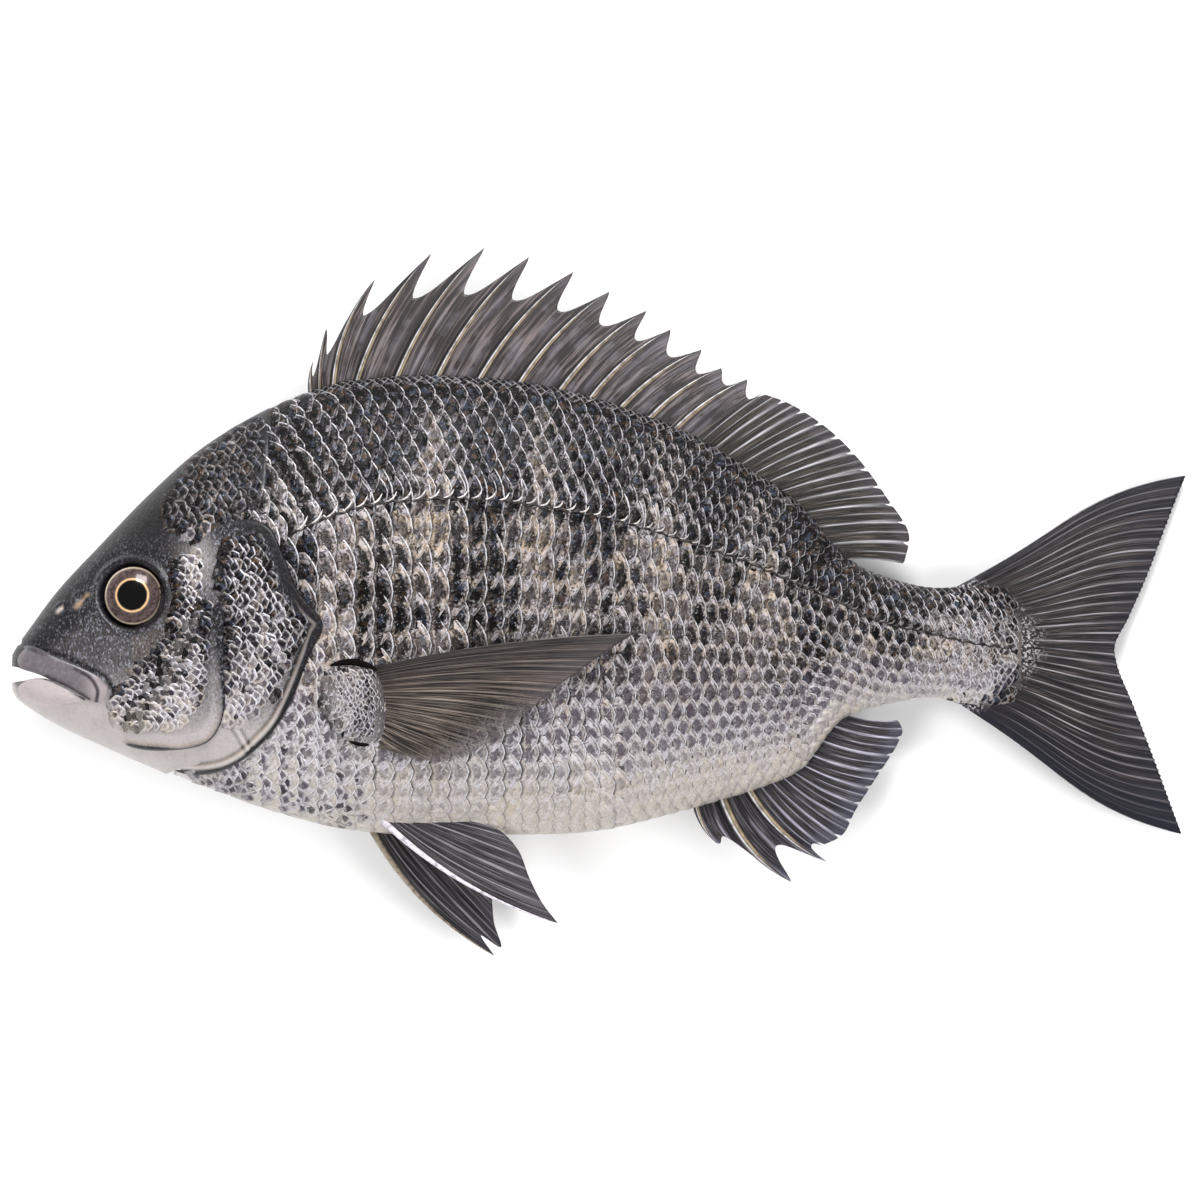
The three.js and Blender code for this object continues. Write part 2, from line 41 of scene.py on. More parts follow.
# the body's outlines and half thickness, in millimetres, as in its solid
body = {
    "back": [
        (-160, -14.6), (-158.4, -11.8), (-156, -8.4), (-147.5, 3), (-136.6, 14.7), (-122.9, 28.9), (-109.3, 41),
        (-95.7, 49.6), (-82, 56.1), (-68.4, 60.2), (-48, 61.7), (-27.5, 60.6), (-7, 57), (13.4, 50.4), (27, 44.4),
        (40.6, 36.3), (54.2, 26.7), (64.6, 14.5), (73.3, 8.4), (92.4, 3.8), (104, 4.6), (114.8, 4)],
    "belly": [
        (-160, -23.8), (-158.6, -26.2), (-156.5, -27.8), (-147.5, -33.3), (-136.6, -38.4), (-109.3, -49.9),
        (-82, -58.9), (-68.4, -61.9), (-48, -63.4), (-14, -63.1), (-0.3, -62.1), (13.4, -59.1), (32.4, -54),
        (43.3, -50.6), (54.2, -45.8), (65.4, -32.3), (73.3, -28.9), (89.7, -26.2), (104, -28.4), (114.8, -28)],
    "halfWidth": [
        (-160, 1.4), (-158.8, 4.4), (-155, 7), (-147, 9.2), (-137, 11.6), (-127, 13.8), (-115, 16.4), (-100, 19.2),
        (-85, 21.4), (-70, 22.4), (-58, 22.6), (-40, 22.2), (-20, 21), (0, 18.8), (27, 15), (54, 10.6),
        (73, 7.6), (92, 5.6), (104, 4.2), (114.8, 1.4)],
    "lateralLine": [
        (-92, 15), (-82, 20.2), (-73.9, 23.7), (-65.7, 26.4), (-54.8, 28.2), (-41.2, 28.9), (-27.5, 28.3),
        (-13.9, 26.4), (-0.3, 24), (13.4, 20.4), (27, 16.1), (40.6, 11.4), (54, 5.6), (63.5, 1.4), (76, -4.4),
        (92.7, -8.2), (100.9, -10.1), (114.8, -12)],
    "backSharp": 1.24, "bellySharp": 0.98, "midHeight": 20.8, "droop": 19.0, "droopStart": -30.0,
}


# how high over the table the lower side's points end, in millimetres
tableGap = {"skin": 0.02, "flap": 0.01, "fin": 0.05, "ray": 0.03}
bothSides = ((1, "Left"), (-1, "Right"))


# plain helpers
def mix(a, b, t):
    return a + t * (b - a)


def smooth(x, low, high):
    t = np.clip((x - low) / (high - low), 0, 1)
    return t * t * (3 - 2 * t)


def bell(x, middle, width):
    return np.exp(-(((x - middle) / width) ** 2))


def profile(points):  # a smooth curve through points that never overshoots them
    xs, ys = np.array(points, float).T
    step = np.diff(xs)
    rise = np.diff(ys) / step
    slope = np.zeros_like(xs)
    slope[0], slope[-1] = rise[0], rise[-1]
    for i in range(1, len(xs) - 1):
        if rise[i - 1] * rise[i] > 0:
            slope[i] = 2 * rise[i - 1] * rise[i] / (rise[i - 1] + rise[i])

    def at(x):
        x = np.clip(x, xs[0], xs[-1])
        i = np.clip(np.searchsorted(xs, x, side="right") - 1, 0, len(step) - 1)
        t = (x - xs[i]) / step[i]
        return ((1 + 2 * t) * (1 - t) ** 2 * ys[i] + t * (1 - t) ** 2 * step[i] * slope[i]
                + t * t * (3 - 2 * t) * ys[i + 1] + t * t * (t - 1) * step[i] * slope[i + 1])
    return at


def runOf(curve):  # the way run along a line of points
    return np.concatenate([[0], np.cumsum(np.linalg.norm(np.diff(curve, axis=0), axis=1))])


def path(points, closed=False):  # a smooth curve through points, read by its share of the length
    p = np.array(points, float)
    q = np.vstack([p[-1], p, p[:2]]) if closed else np.vstack([2 * p[0] - p[1], p, 2 * p[-1] - p[-2]])
    parts = []
    for a, b, c, d in zip(q[:-3], q[1:-2], q[2:-1], q[3:]):
        t1 = np.linalg.norm(b - a) ** 0.5
        t2 = t1 + np.linalg.norm(c - b) ** 0.5
        t3 = t2 + np.linalg.norm(d - c) ** 0.5
        t = np.linspace(t1, t2, 24, endpoint=False)[:, None]
        ab = a + (b - a) * t / t1
        bc = b + (c - b) * (t - t1) / (t2 - t1)
        cd = c + (d - c) * (t - t2) / (t3 - t2)
        abc = ab + (bc - ab) * t / t2
        bcd = bc + (cd - bc) * (t - t1) / (t3 - t1)
        parts.append(abc + (bcd - abc) * (t - t1) / (t2 - t1))
    curve = np.vstack(parts + [p[:1] if closed else p[-1:]])
    run = runOf(curve)

    def at(share):
        length = np.clip(share, 0, 1) * run[-1]
        return np.stack([np.interp(length, run, curve[:, k]) for k in range(curve.shape[1])], -1)
    return at


backY, bellyY, halfWidth, lineY = (profile(body[k]) for k in ("back", "belly", "halfWidth", "lateralLine"))


def middleY(x):
    return mix(bellyY(x), backY(x), 0.5)


def downShare(x, y):  # 0 on the back, 1 on the belly
    return (backY(x) - y) / (backY(x) - bellyY(x))


def midZ(x):  # the mid plane's height: the tail end bends down
    share = np.maximum(0, (x - body["droopStart"]) / (160 - body["droopStart"]))
    return body["midHeight"] - body["droop"] * share ** 2


def flank(x, y):  # half thickness at a point of the side view
    middle = middleY(x)
    above = y > middle
    reach = np.where(above, backY(x) - middle, middle - bellyY(x))
    sharp = np.where(above, body["backSharp"], body["bellySharp"])
    return halfWidth(x) * np.maximum(0, 1 - ((y - middle) / reach) ** 2) ** (sharp / 2)


def turnAt(x, y):  # the angle round the body of a point of the side view
    middle = middleY(x)
    reach = np.where(y > middle, backY(x) - middle, middle - bellyY(x))
    return np.arcsin(np.clip((y - middle) / reach, -1, 1))


def skinBare(x, turn, side):  # a point of the skin at an angle round the body, side 1 or -1
    middle = middleY(x)
    rise = np.sin(turn)
    reach = np.where(rise > 0, backY(x) - middle, middle - bellyY(x))
    sharp = np.where(rise > 0, body["backSharp"], body["bellySharp"])
    out = halfWidth(x) * np.maximum(np.cos(turn), 0) ** sharp
    return np.stack([x, middle + reach * rise, midZ(x) + side * out], -1)


def skinNormal(x, turn, side):
    turn = np.clip(turn, -1.5, 1.5)
    alongX = skinBare(x + 0.4, turn, side) - skinBare(x - 0.4, turn, side)
    alongTurn = skinBare(x, turn + 0.02, side) - skinBare(x, turn - 0.02, side)
    normal = np.cross(alongX, alongTurn) * np.asarray(side)[..., None]
    return normal / np.linalg.norm(normal, axis=-1, keepdims=True)


def skinPoint(x, turn, side, lift=0.0):
    x, turn, side, lift = np.broadcast_arrays(x, turn, side, lift)
    return skinBare(x, turn, side) + skinNormal(x, turn, side) * lift[..., None]


def overTable(points, gap):  # nothing sinks into the table
    points[:, 2] = np.maximum(points[:, 2], gap)
    return points


def segmentGap(a, b, x, y):  # distance to the straight piece between two points
    (ax, ay), (bx, by) = a, b
    dx, dy = bx - ax, by - ay
    t = np.clip(((x - ax) * dx + (y - ay) * dy) / (dx * dx + dy * dy + 1e-12), 0, 1)
    return np.hypot(x - ax - t * dx, y - ay - t * dy)


def insideOutline(points, x, y):  # signed distance to a closed outline, positive inside
    a = np.asarray(points, float)
    b = np.roll(a, -1, axis=0)
    near = np.full(np.shape(x), 1e9)
    odd = np.zeros(np.shape(x), bool)
    for (ax, ay), (bx, by) in zip(a, b):
        near = np.minimum(near, segmentGap((ax, ay), (bx, by), x, y))
        if ay != by:
            odd ^= ((ay > y) != (by > y)) & (x < (bx - ax) * (y - ay) / (by - ay) + ax)
    return np.where(odd, near, -near)


def closedLine(outline):
    return path(outline, True)(np.linspace(0, 1, 80, endpoint=False))


def nearLine(points, x, y):  # distance to an open line
    a = np.asarray(points, float)
    near = np.full(np.shape(x), 1e9)
    for start, end in zip(a[:-1], a[1:]):
        near = np.minimum(near, segmentGap(start, end, x, y))
    return near


# colours over the body: how dark, how golden, how pale, all from 0 to 1
markings = {
    "dark": [(0, 0.98), (0.05, 0.92), (0.2, 0.74), (0.38, 0.48), (0.5, 0.46), (0.65, 0.38), (0.8, 0.22),
             (0.9, 0.06), (1, 0.0)],
    "pale": [(0, 0.0), (0.2, 0.12), (0.4, 0.24), (0.55, 0.24), (0.7, 0.43), (0.82, 0.68), (0.9, 0.88), (1, 1.0)],
    "bars": [(-58, 7, 0.95), (-28, 6.5, 0.9), (4, 7, 0.4), (32, 8, 0.45), (60, 8, 0.6), (84, 8, 0.45)],
    "gold": [(-43, 6.5, 1.0), (-14, 5.5, 0.9), (18, 5, 0.7), (45, 5, 0.65)],
}
darkByShare, paleByShare = profile(markings["dark"]), profile(markings["pale"])


scaled = {"end": 116.5, "bend": 0.055, "middle": 12.0, "least": 101}  # the scales' round end on the tail's root


def pastScales(x, y):  # 1 on the dark corners of the tail's root, beyond the scales' end
    end = np.maximum(scaled["end"] - scaled["bend"] * (y + scaled["middle"]) ** 2, scaled["least"])
    return smooth(x, end - 2, end + 2)


def axilShade(x, y):  # the black slit over the pectoral fin's root
    return bell(nearLine([(-73, -17.0), (-68, -16.6), (-60, -18.2)], x, y), 0, 1.1)


def rimShare(x, y):  # how much of the scales' bright rims is left there
    return (1 - 0.8 * pastScales(x, y)) * (1 - 0.9 * axilShade(x, y))


def bodyTone(x, y):
    y = np.clip(y, bellyY(x), backY(x))
    share = downShare(x, y)
    upper = smooth(y - lineY(x), -9, 3)
    window = smooth(share, 0.02, 0.12) * (1 - smooth(share, 0.6, 0.85)) * mix(0.45, 1.0, upper)
    bars = sum(force * bell(x, at, width) for at, width, force in markings["bars"])
    gold = sum(force * bell(x, at, width) for at, width, force in markings["gold"])
    gold = gold * (1 - 0.85 * smooth(lineY(x) - y, 8, 24))
    grey = 0.16 * bell(lineY(x) - y, 26, 12) * smooth(-x, 5, 35)
    blotch = bell(np.hypot(x + 79, (y - 9) * 0.55), 0, 5)
    axil = axilShade(x, y)
    belowLine = smooth(lineY(x) - y, -4, 8) * (1 - smooth(share, 0.55, 0.75))
    front = 0.16 * smooth(-x, 20, 70) * smooth(share, 0.1, 0.3) * (1 - smooth(share, 0.5, 0.75))
    dark = darkByShare(share) + 0.46 * bars * window - 0.42 * gold * window - front + grey
    dark = np.maximum(dark, 0.85 * pastScales(x, y))
    bare = bell(np.hypot(x + 70.5, (y + 6) * 0.8), 0, 4.2)  # pinkish skin behind the gill cover's point
    dark = np.clip(dark - 0.4 * bare + 1.3 * blotch + axil, 0, 1)
    warm = np.clip(0.45 + 0.55 * gold, 0, 1) * mix(0.45, 1.0, belowLine) * (1 - smooth(share, 0.6, 0.85)) + 0.08 * bare
    pale = paleByShare(share) * (1 - 0.15 * smooth(x, 60, 90)) - 0.1 * bars * window - 0.6 * grey + 0.45 * bare
    return np.stack([dark, warm, np.clip(pale, 0, 1)], -1)


# nodes of materials and of geometry, with sums written as sums
class Wire:
    def __init__(self, net, socket):
        self.net, self.socket = net, socket

    def __add__(self, other):
        return self.net.maths("ADD", self, other)

    def __sub__(self, other):
        return self.net.maths("SUBTRACT", self, other)

    def __rsub__(self, other):
        return self.net.maths("SUBTRACT", other, self)

    def __mul__(self, other):
        return self.net.maths("MULTIPLY", self, other)

    def __truediv__(self, other):
        return self.net.maths("DIVIDE", self, other)

    def __pow__(self, other):
        return self.net.maths("POWER", self, other)

    def __neg__(self):
        return self.net.maths("MULTIPLY", self, -1.0)

    __radd__ = __add__
    __rmul__ = __mul__


class Net:
    def __init__(self, tree):
        self.tree = tree

    def feed(self, socket, value):
        if isinstance(value, Wire):
            self.tree.links.new(value.socket, socket)
        else:
            socket.default_value = value

    def add(self, kind, settings=None, inputs=None, out=0):  # any node: its settings first, then its sockets
        node = self.tree.nodes.new(kind)
        for name, value in (settings or {}).items():
            setattr(node, name, value)
        for name, value in (inputs or {}).items():
            self.feed(node.inputs[name], value)
        if out is None:
            return [Wire(self, socket) for socket in node.outputs]
        return Wire(self, node.outputs[out])

    def maths(self, operation, *values, clamp=False):
        settings = {"operation": operation, "use_clamp": clamp}
        return self.add("ShaderNodeMath", settings, dict(enumerate(values)))

    def limit(self, value):
        return self.maths("ADD", value, 0.0, clamp=True)


def colour(red, green, blue):  # from screen values of 0 to 255
    return tuple((c / 255) ** 2.2 for c in (red, green, blue)) + (1.0,)


class Paint(Net):
    def __init__(self, name, **constants):
        self.material = bpy.data.materials.new(name)
        self.material.use_nodes = True
        super().__init__(self.material.node_tree)
        self.shader = self.tree.nodes["Principled BSDF"]
        for socket, value in constants.items():
            self.shader.inputs[socket.replace("_", " ")].default_value = value

    def finish(self, **sockets):
        for socket, value in sockets.items():
            self.feed(self.shader.inputs[socket.replace("_", " ")], value)
        return self.material

    def own(self, name, out="Fac"):  # an attribute of the piece
        return self.add("ShaderNodeAttribute", {"attribute_name": name}, out=out)

    def split(self, vector):
        return self.add("ShaderNodeSeparateXYZ", inputs={"Vector": vector}, out=None)

    def place(self):  # object coordinates in millimetres
        where = self.add("ShaderNodeTexCoord", out="Object")
        return self.add("ShaderNodeVectorMath", {"operation": "SCALE"}, {0: where, "Scale": 1000.0})

    def stretch(self, vector, x, y, z):
        return self.add("ShaderNodeVectorMath", {"operation": "MULTIPLY"}, {0: vector, 1: (x, y, z)})

    def join(self, x, y, z=0.0):
        return self.add("ShaderNodeCombineXYZ", inputs={"X": x, "Y": y, "Z": z})

    def noise(self, vector, scale=1.0, detail=3.0, rough=0.55):
        return self.add("ShaderNodeTexNoise", inputs={
            "Vector": vector, "Scale": scale, "Detail": detail, "Roughness": rough}, out="Fac")

    def cells(self, vector, scale):
        return self.add("ShaderNodeTexVoronoi", inputs={"Vector": vector, "Scale": scale}, out="Distance")

    def step(self, value, low, high):
        return self.add("ShaderNodeMapRange", {"interpolation_type": "SMOOTHSTEP"}, {
            "Value": value, "From Min": low, "From Max": high})

    def hump(self, value, middle, width):
        away = (value - middle) / width
        return self.maths("EXPONENT", -(away * away))

    def blend(self, share, first, second):
        settings = {"data_type": "RGBA", "clamp_factor": True}
        return self.add("ShaderNodeMix", settings, {0: share, 6: first, 7: second}, out=2)

    def bump(self, height, strength, distance):
        inputs = {"Height": height, "Strength": strength, "Distance": distance}
        return self.add("ShaderNodeBump", inputs=inputs, out="Normal")


# meshes
def addTones(mesh, tones):
    for key, values in tones.items():
        values = np.asarray(values, float)
        kind = "FLOAT" if values.ndim == 1 else "FLOAT_VECTOR"
        if key in mesh.attributes:
            mesh.attributes.remove(mesh.attributes[key])
        layer = mesh.attributes.new(key, kind, "POINT")
        layer.data.foreach_set("value" if kind == "FLOAT" else "vector", values.ravel())


def newMesh(name, points, faces, edges=()):  # from millimetres
    mesh = bpy.data.meshes.new(name)
    mesh.from_pydata((np.asarray(points, float) * 0.001).tolist(), list(edges), faces)
    return mesh


def newObject(name, data):
    made = bpy.data.objects.new(name, data)
    bpy.context.scene.collection.objects.link(made)
    return made


def evaluated(piece):  # the mesh that a piece's modifiers make
    return bpy.data.meshes.new_from_object(piece.evaluated_get(bpy.context.evaluated_depsgraph_get()))


def meshPiece(name, points, faces, material, tones, replaced="fish"):
    mesh = newMesh(name, points, [tuple(f) for f in (faces.tolist() if isinstance(faces, np.ndarray) else faces)])
    addTones(mesh, tones)
    mesh.materials.append(material)
    mesh.polygons.foreach_set("use_smooth", [True] * len(mesh.polygons))
    return dress(newObject(name, mesh), replaced)


def dress(piece, replaced="fish"):
    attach(piece, "root")
    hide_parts(replaced)
    return piece


def gridFaces(columns, rows, closed=False, start=0, flip=False):  # quads of points laid out column by column
    c = np.arange(columns if closed else columns - 1)
    r = np.arange(rows - 1)
    c, r = [g.ravel() for g in np.meshgrid(c, r, indexing="ij")]
    after = (c + 1) % columns
    quads = np.stack([c * rows + r, after * rows + r, after * rows + r + 1, c * rows + r + 1], -1) + start
    return quads[:, ::-1] if flip else quads


def turnOutward(mesh):
    volume = 0.0
    mesh.calc_loop_triangles()
    co = np.array([v.co[:] for v in mesh.vertices])
    for tri in mesh.loop_triangles:
        a, b, c = co[list(tri.vertices)]
        volume += np.dot(a, np.cross(b, c))
    if volume < 0:
        mesh.flip_normals()


def signedVolume(points, quads):
    p = points
    a, b, c, d = (p[quads[:, k]] for k in range(4))
    return (np.einsum("ij,ij->i", a, np.cross(b, c)) + np.einsum("ij,ij->i", a, np.cross(c, d))).sum()


def outward(points, quads):
    return quads[:, ::-1] if signedVolume(points, quads) < 0 else quads


def loftPiece(name, stations, around, lift, material, tone):  # the skin between its stations, closed at both ends
    turns = np.linspace(-math.pi, math.pi, around, endpoint=False)
    x, turn = np.meshgrid(stations, turns, indexing="ij")
    side = np.where(np.abs(turn) <= math.pi / 2, 1.0, -1.0)
    folded = np.where(side > 0, turn, np.sign(turn) * (math.pi - np.abs(turn)))
    y = skinBare(x, folded, side)[..., 1]
    points = skinPoint(x, folded, side, lift(x, y)).reshape(-1, 3)
    s, k = [g.ravel() for g in np.meshgrid(np.arange(len(stations) - 1), np.arange(around), indexing="ij")]
    after = (k + 1) % around
    quads = np.stack([s * around + k, (s + 1) * around + k, (s + 1) * around + after, s * around + after], -1)
    quads = outward(points, quads)
    forward = quads[0][0] == 0 and quads[0][1] == around
    faces = [tuple(q) for q in quads.tolist()]
    ends = []
    for station in (0, len(stations) - 1):
        ring = [station * around + i for i in range(around)]
        ends.append(points[ring].mean(axis=0))
        centre = len(points) + len(ends) - 1
        for i in range(around):
            a, b = ring[i], ring[(i + 1) % around]
            faces.append((a, b, centre) if (station == 0) == forward else (b, a, centre))
    points = overTable(np.vstack([points, ends]), tableGap["skin"])
    return meshPiece(name, points, faces, material, tone(points))


# skin
def wetSkin(name):
    paint = Paint(name, Specular_IOR_Level=0.35, Coat_Roughness=0.2)
    dark, warm, pale = paint.split(paint.own("skinTone", "Vector"))
    rough = paint.own("skinRough")
    where = paint.place()
    grain = paint.noise(where, 0.9, 4.0, 0.62)
    fine = paint.noise(paint.stretch(where, 1.9, 1.1, 1.5), 1.0, 3.0, 0.65)
    broad = paint.noise(where, 0.16, 3.0)
    pores = paint.cells(where, 1.1)
    base = paint.blend(pale, colour(96, 92, 96), colour(186, 180, 179))
    base = paint.blend(warm, base, colour(160, 132, 100))
    base = paint.blend(paint.limit(dark * 1.1 + (grain - 0.5) * 0.35 + (broad - 0.5) * 0.5), base, colour(24, 22, 24))
    flakes = paint.step(fine, 0.5, 0.62) * paint.step(grain, 0.38, 0.56) * (0.06 + rough * 0.94)
    base = paint.blend(flakes * (0.66 - dark * 0.22), base, colour(172, 174, 190))
    base = paint.blend(paint.step(fine, 0.46, 0.38) * (0.05 + rough * 0.45), base, colour(40, 37, 41))
    base = paint.blend(paint.step(pores, 0.32, 0.1) * rough * 0.35, base, colour(34, 31, 34))
    relief = paint.bump(grain * 0.8 + fine * 0.7 + pores * 0.3, 0.5, 0.0004)
    paint.finish(Base_Color=base, Roughness=0.28 + grain * 0.28, Metallic=flakes * 0.25, Normal=relief,
                 Coat_Weight=0.16 + flakes * 0.4)
    return paint.material


# scales: closed plates set out on points by one tree
plate = {"length": 1.75, "point": 0.54, "power": 1.3, "apex": 0.0, "rise": 0.36, "camber": 0.2, "thickness": 0.05,
         "jitter": 0.07, "lean": 0.0, "spread": 1.04, "seed": 5}


def newTree(name, sockets):  # a geometry tree with its inputs: geometry first, the given ones, material last
    tree = bpy.data.node_groups.new(name, "GeometryNodeTree")
    for kind, labels in (("Geometry", ("Geometry",)), *sockets, ("Material", ("Material",))):
        for label in labels:
            tree.interface.new_socket(label, in_out="INPUT", socket_type="NodeSocket" + kind)
    tree.interface.new_socket("Geometry", in_out="OUTPUT", socket_type="NodeSocketGeometry")
    return tree


def endTree(net, made, material):
    made = net.add("GeometryNodeRealizeInstances", inputs={"Geometry": made})
    made = net.add("GeometryNodeSetMaterial", inputs={"Geometry": made, "Material": material})
    outlet = net.tree.nodes.new("NodeGroupOutput")
    net.tree.links.new(made.socket, outlet.inputs[0])
    return net.tree


def scaleTree(name):
    shapes = ("Length", "Point", "Power", "Apex", "Rise", "Camber", "Thickness", "Jitter", "Lean", "Spread")
    tree = newTree(name, (("Float", shapes), ("Int", ("Seed", "Along", "Across"))))
    net = Net(tree)
    inputs = net.add("NodeGroupInput", out=None)
    points, length, point, power, apex, rise, camber, thickness, jitter, lean, spread = inputs[:11]
    seed, along, across, material = inputs[11:15]
    grid = net.add("GeometryNodeMeshGrid", inputs={
        "Size X": 1.0, "Size Y": 1.0, "Vertices X": along, "Vertices Y": across}, out="Mesh")
    gx, gy, _ = net.add("ShaderNodeSeparateXYZ", inputs={0: net.add("GeometryNodeInputPosition")}, out=None)
    back = 0.5 - gx  # 0 at the free edge, 1 at the buried end
    wide = net.maths("SINE", gy * math.pi)  # columns closer together towards both tips
    bend = net.maths("ABSOLUTE", wide - apex) ** power
    reach = back * (length - point * bend)
    store = {"data_type": "FLOAT", "domain": "POINT"}
    grid = net.add("GeometryNodeStoreNamedAttribute", store, {"Geometry": grid, "Name": "plateBack", "Value": reach})
    grid = net.add("GeometryNodeStoreNamedAttribute", store, {"Geometry": grid, "Name": "plateWide", "Value": wide})
    height = rise * (1.0 - back * 1.6) - camber * bend
    shaped = net.add("ShaderNodeCombineXYZ", inputs={
        "X": -(point * bend) - reach - lean * wide, "Y": wide * spread, "Z": height})
    grid = net.add("GeometryNodeSetPosition", inputs={"Geometry": grid, "Position": shaped})
    up = net.add("ShaderNodeCombineXYZ", inputs={"Z": thickness})
    top = net.add("GeometryNodeExtrudeMesh", {"mode": "FACES"}, {"Mesh": grid, "Offset": up, "Individual": False},
                  out="Mesh")
    under = net.add("GeometryNodeFlipFaces", inputs={"Mesh": grid})
    join = tree.nodes.new("GeometryNodeJoinGeometry")
    for part in (top, under):
        tree.links.new(part.socket, join.inputs[0])
    plateMesh = net.add("GeometryNodeMergeByDistance", inputs={
        "Geometry": Wire(net, join.outputs[0]), "Distance": 0.002})
    plateMesh = net.add("GeometryNodeSetShadeSmooth", inputs={"Geometry": plateMesh, "Shade Smooth": True})
    _, _, high = net.add("ShaderNodeSeparateXYZ", inputs={0: net.add("GeometryNodeInputPosition")}, out=None)
    plateMesh = net.add("GeometryNodeStoreNamedAttribute", store, {
        "Geometry": plateMesh, "Name": "plateHigh", "Value": high})
    named = {"data_type": "FLOAT_VECTOR"}
    turned = net.add("GeometryNodeInputNamedAttribute", named, {"Name": "turned"}, out="Attribute")
    sizes = net.add("GeometryNodeInputNamedAttribute", named, {"Name": "sizes"}, out="Attribute")
    placed = net.add("GeometryNodeInstanceOnPoints", inputs={
        "Points": points, "Instance": plateMesh, "Rotation": turned, "Scale": sizes})
    least = net.add("ShaderNodeCombineXYZ", inputs={"Z": -jitter})
    most = net.add("ShaderNodeCombineXYZ", inputs={"Z": jitter})
    shake = net.add("FunctionNodeRandomValue", named, {"Min": least, "Max": most, "Seed": seed}, out="Value")
    placed = net.add("GeometryNodeRotateInstances", inputs={
        "Instances": placed, "Rotation": shake, "Local Space": True})
    return endTree(net, placed, material)


def runTree(name, tree, points, attributes, values, edges=()):  # a tree's result as a plain mesh
    mesh = newMesh(name, points, [], edges)
    addTones(mesh, attributes)
    piece = newObject(name, mesh)
    modifier = piece.modifiers.new("made", "NODES")
    modifier.node_group = tree
    for item in tree.interface.items_tree:
        if item.in_out == "INPUT" and item.name in values:
            modifier[item.identifier] = values[item.name]
    made = evaluated(piece)
    made.name = name
    piece.modifiers.remove(modifier)
    piece.data = made
    bpy.data.meshes.remove(mesh)
    return piece


def layOn(at, side, height):  # points near the skin moved to a given height over it
    x = np.clip(at[:, 0], -159, 114.7)
    middle = middleY(x)
    up = at[:, 1] - middle
    reach = np.where(up > 0, backY(x) - middle, middle - bellyY(x))
    sharp = np.where(up > 0, body["backSharp"], body["bellySharp"])
    out = np.maximum(side * (at[:, 2] - midZ(x)), 0.0) / halfWidth(x)
    turn = np.arctan2(up / reach, np.clip(out, 0, 2) ** (1 / sharp))
    sides = np.full(len(x), float(side))
    return skinPoint(x, turn, sides, height) + np.column_stack([at[:, 0] - x, x * 0, x * 0])


def scalePiece(name, tree, x, y, side, sizes, heading, tone, rim, material, along=4, across=11, lift=0.0,
               changes=None):
    turn = turnAt(x, y)
    sides = np.full(len(x), float(side))
    where = skinPoint(x, turn, sides, lift)
    normal = skinNormal(x, turn, sides)
    flow = np.stack([np.cos(heading), np.sin(heading), np.zeros_like(heading)], -1)
    flow = flow - normal * (flow * normal).sum(-1, keepdims=True)
    flow /= np.linalg.norm(flow, axis=-1, keepdims=True)
    cross = np.cross(normal, flow)
    turned = []
    for f, c, n in zip(flow, cross, normal):
        turned.append(tuple(Matrix((f, c, n)).transposed().to_euler("XYZ")))
    settings = dict(plate, **(changes or {}))
    rise = mix(0.3, 1.0, rim)
    piece = runTree(name, tree, where, {
        "turned": np.array(turned), "sizes": np.column_stack([sizes[:, 0], sizes[:, 1], rise]) * 0.001,
        "scaleTone": tone, "scaleRim": rim, "scaleLean": np.full(len(x), float(settings["lean"] != 0)),
        "scaleRise": rise, "scaleLift": np.broadcast_to(lift, x.shape)}, {
        "Length": settings["length"], "Point": settings["point"], "Power": settings["power"],
        "Apex": settings["apex"] * side, "Rise": settings["rise"],
        "Camber": settings["camber"], "Thickness": settings["thickness"], "Jitter": settings["jitter"],
        "Lean": settings["lean"] * side, "Spread": settings["spread"],
        "Seed": settings["seed"], "Along": along, "Across": across, "Material": material})
    mesh = piece.data
    co = np.empty(len(mesh.vertices) * 3)
    mesh.vertices.foreach_get("co", co)
    at = co.reshape(-1, 3) * 1000
    own = {}
    for key in ("plateHigh", "scaleRise", "scaleLift"):
        own[key] = np.empty(len(at))
        mesh.attributes[key].data.foreach_get("value", own[key])
    bent = layOn(at, side, own["plateHigh"] * own["scaleRise"] + own["scaleLift"])
    bent = overTable(bent, tableGap["skin"])  # the lower flank's scales lie flat on the table
    mesh.vertices.foreach_set("co", bent.ravel() * 0.001)
    print(name, len(x), "scales,", len(piece.data.polygons), "faces")
    return dress(piece)


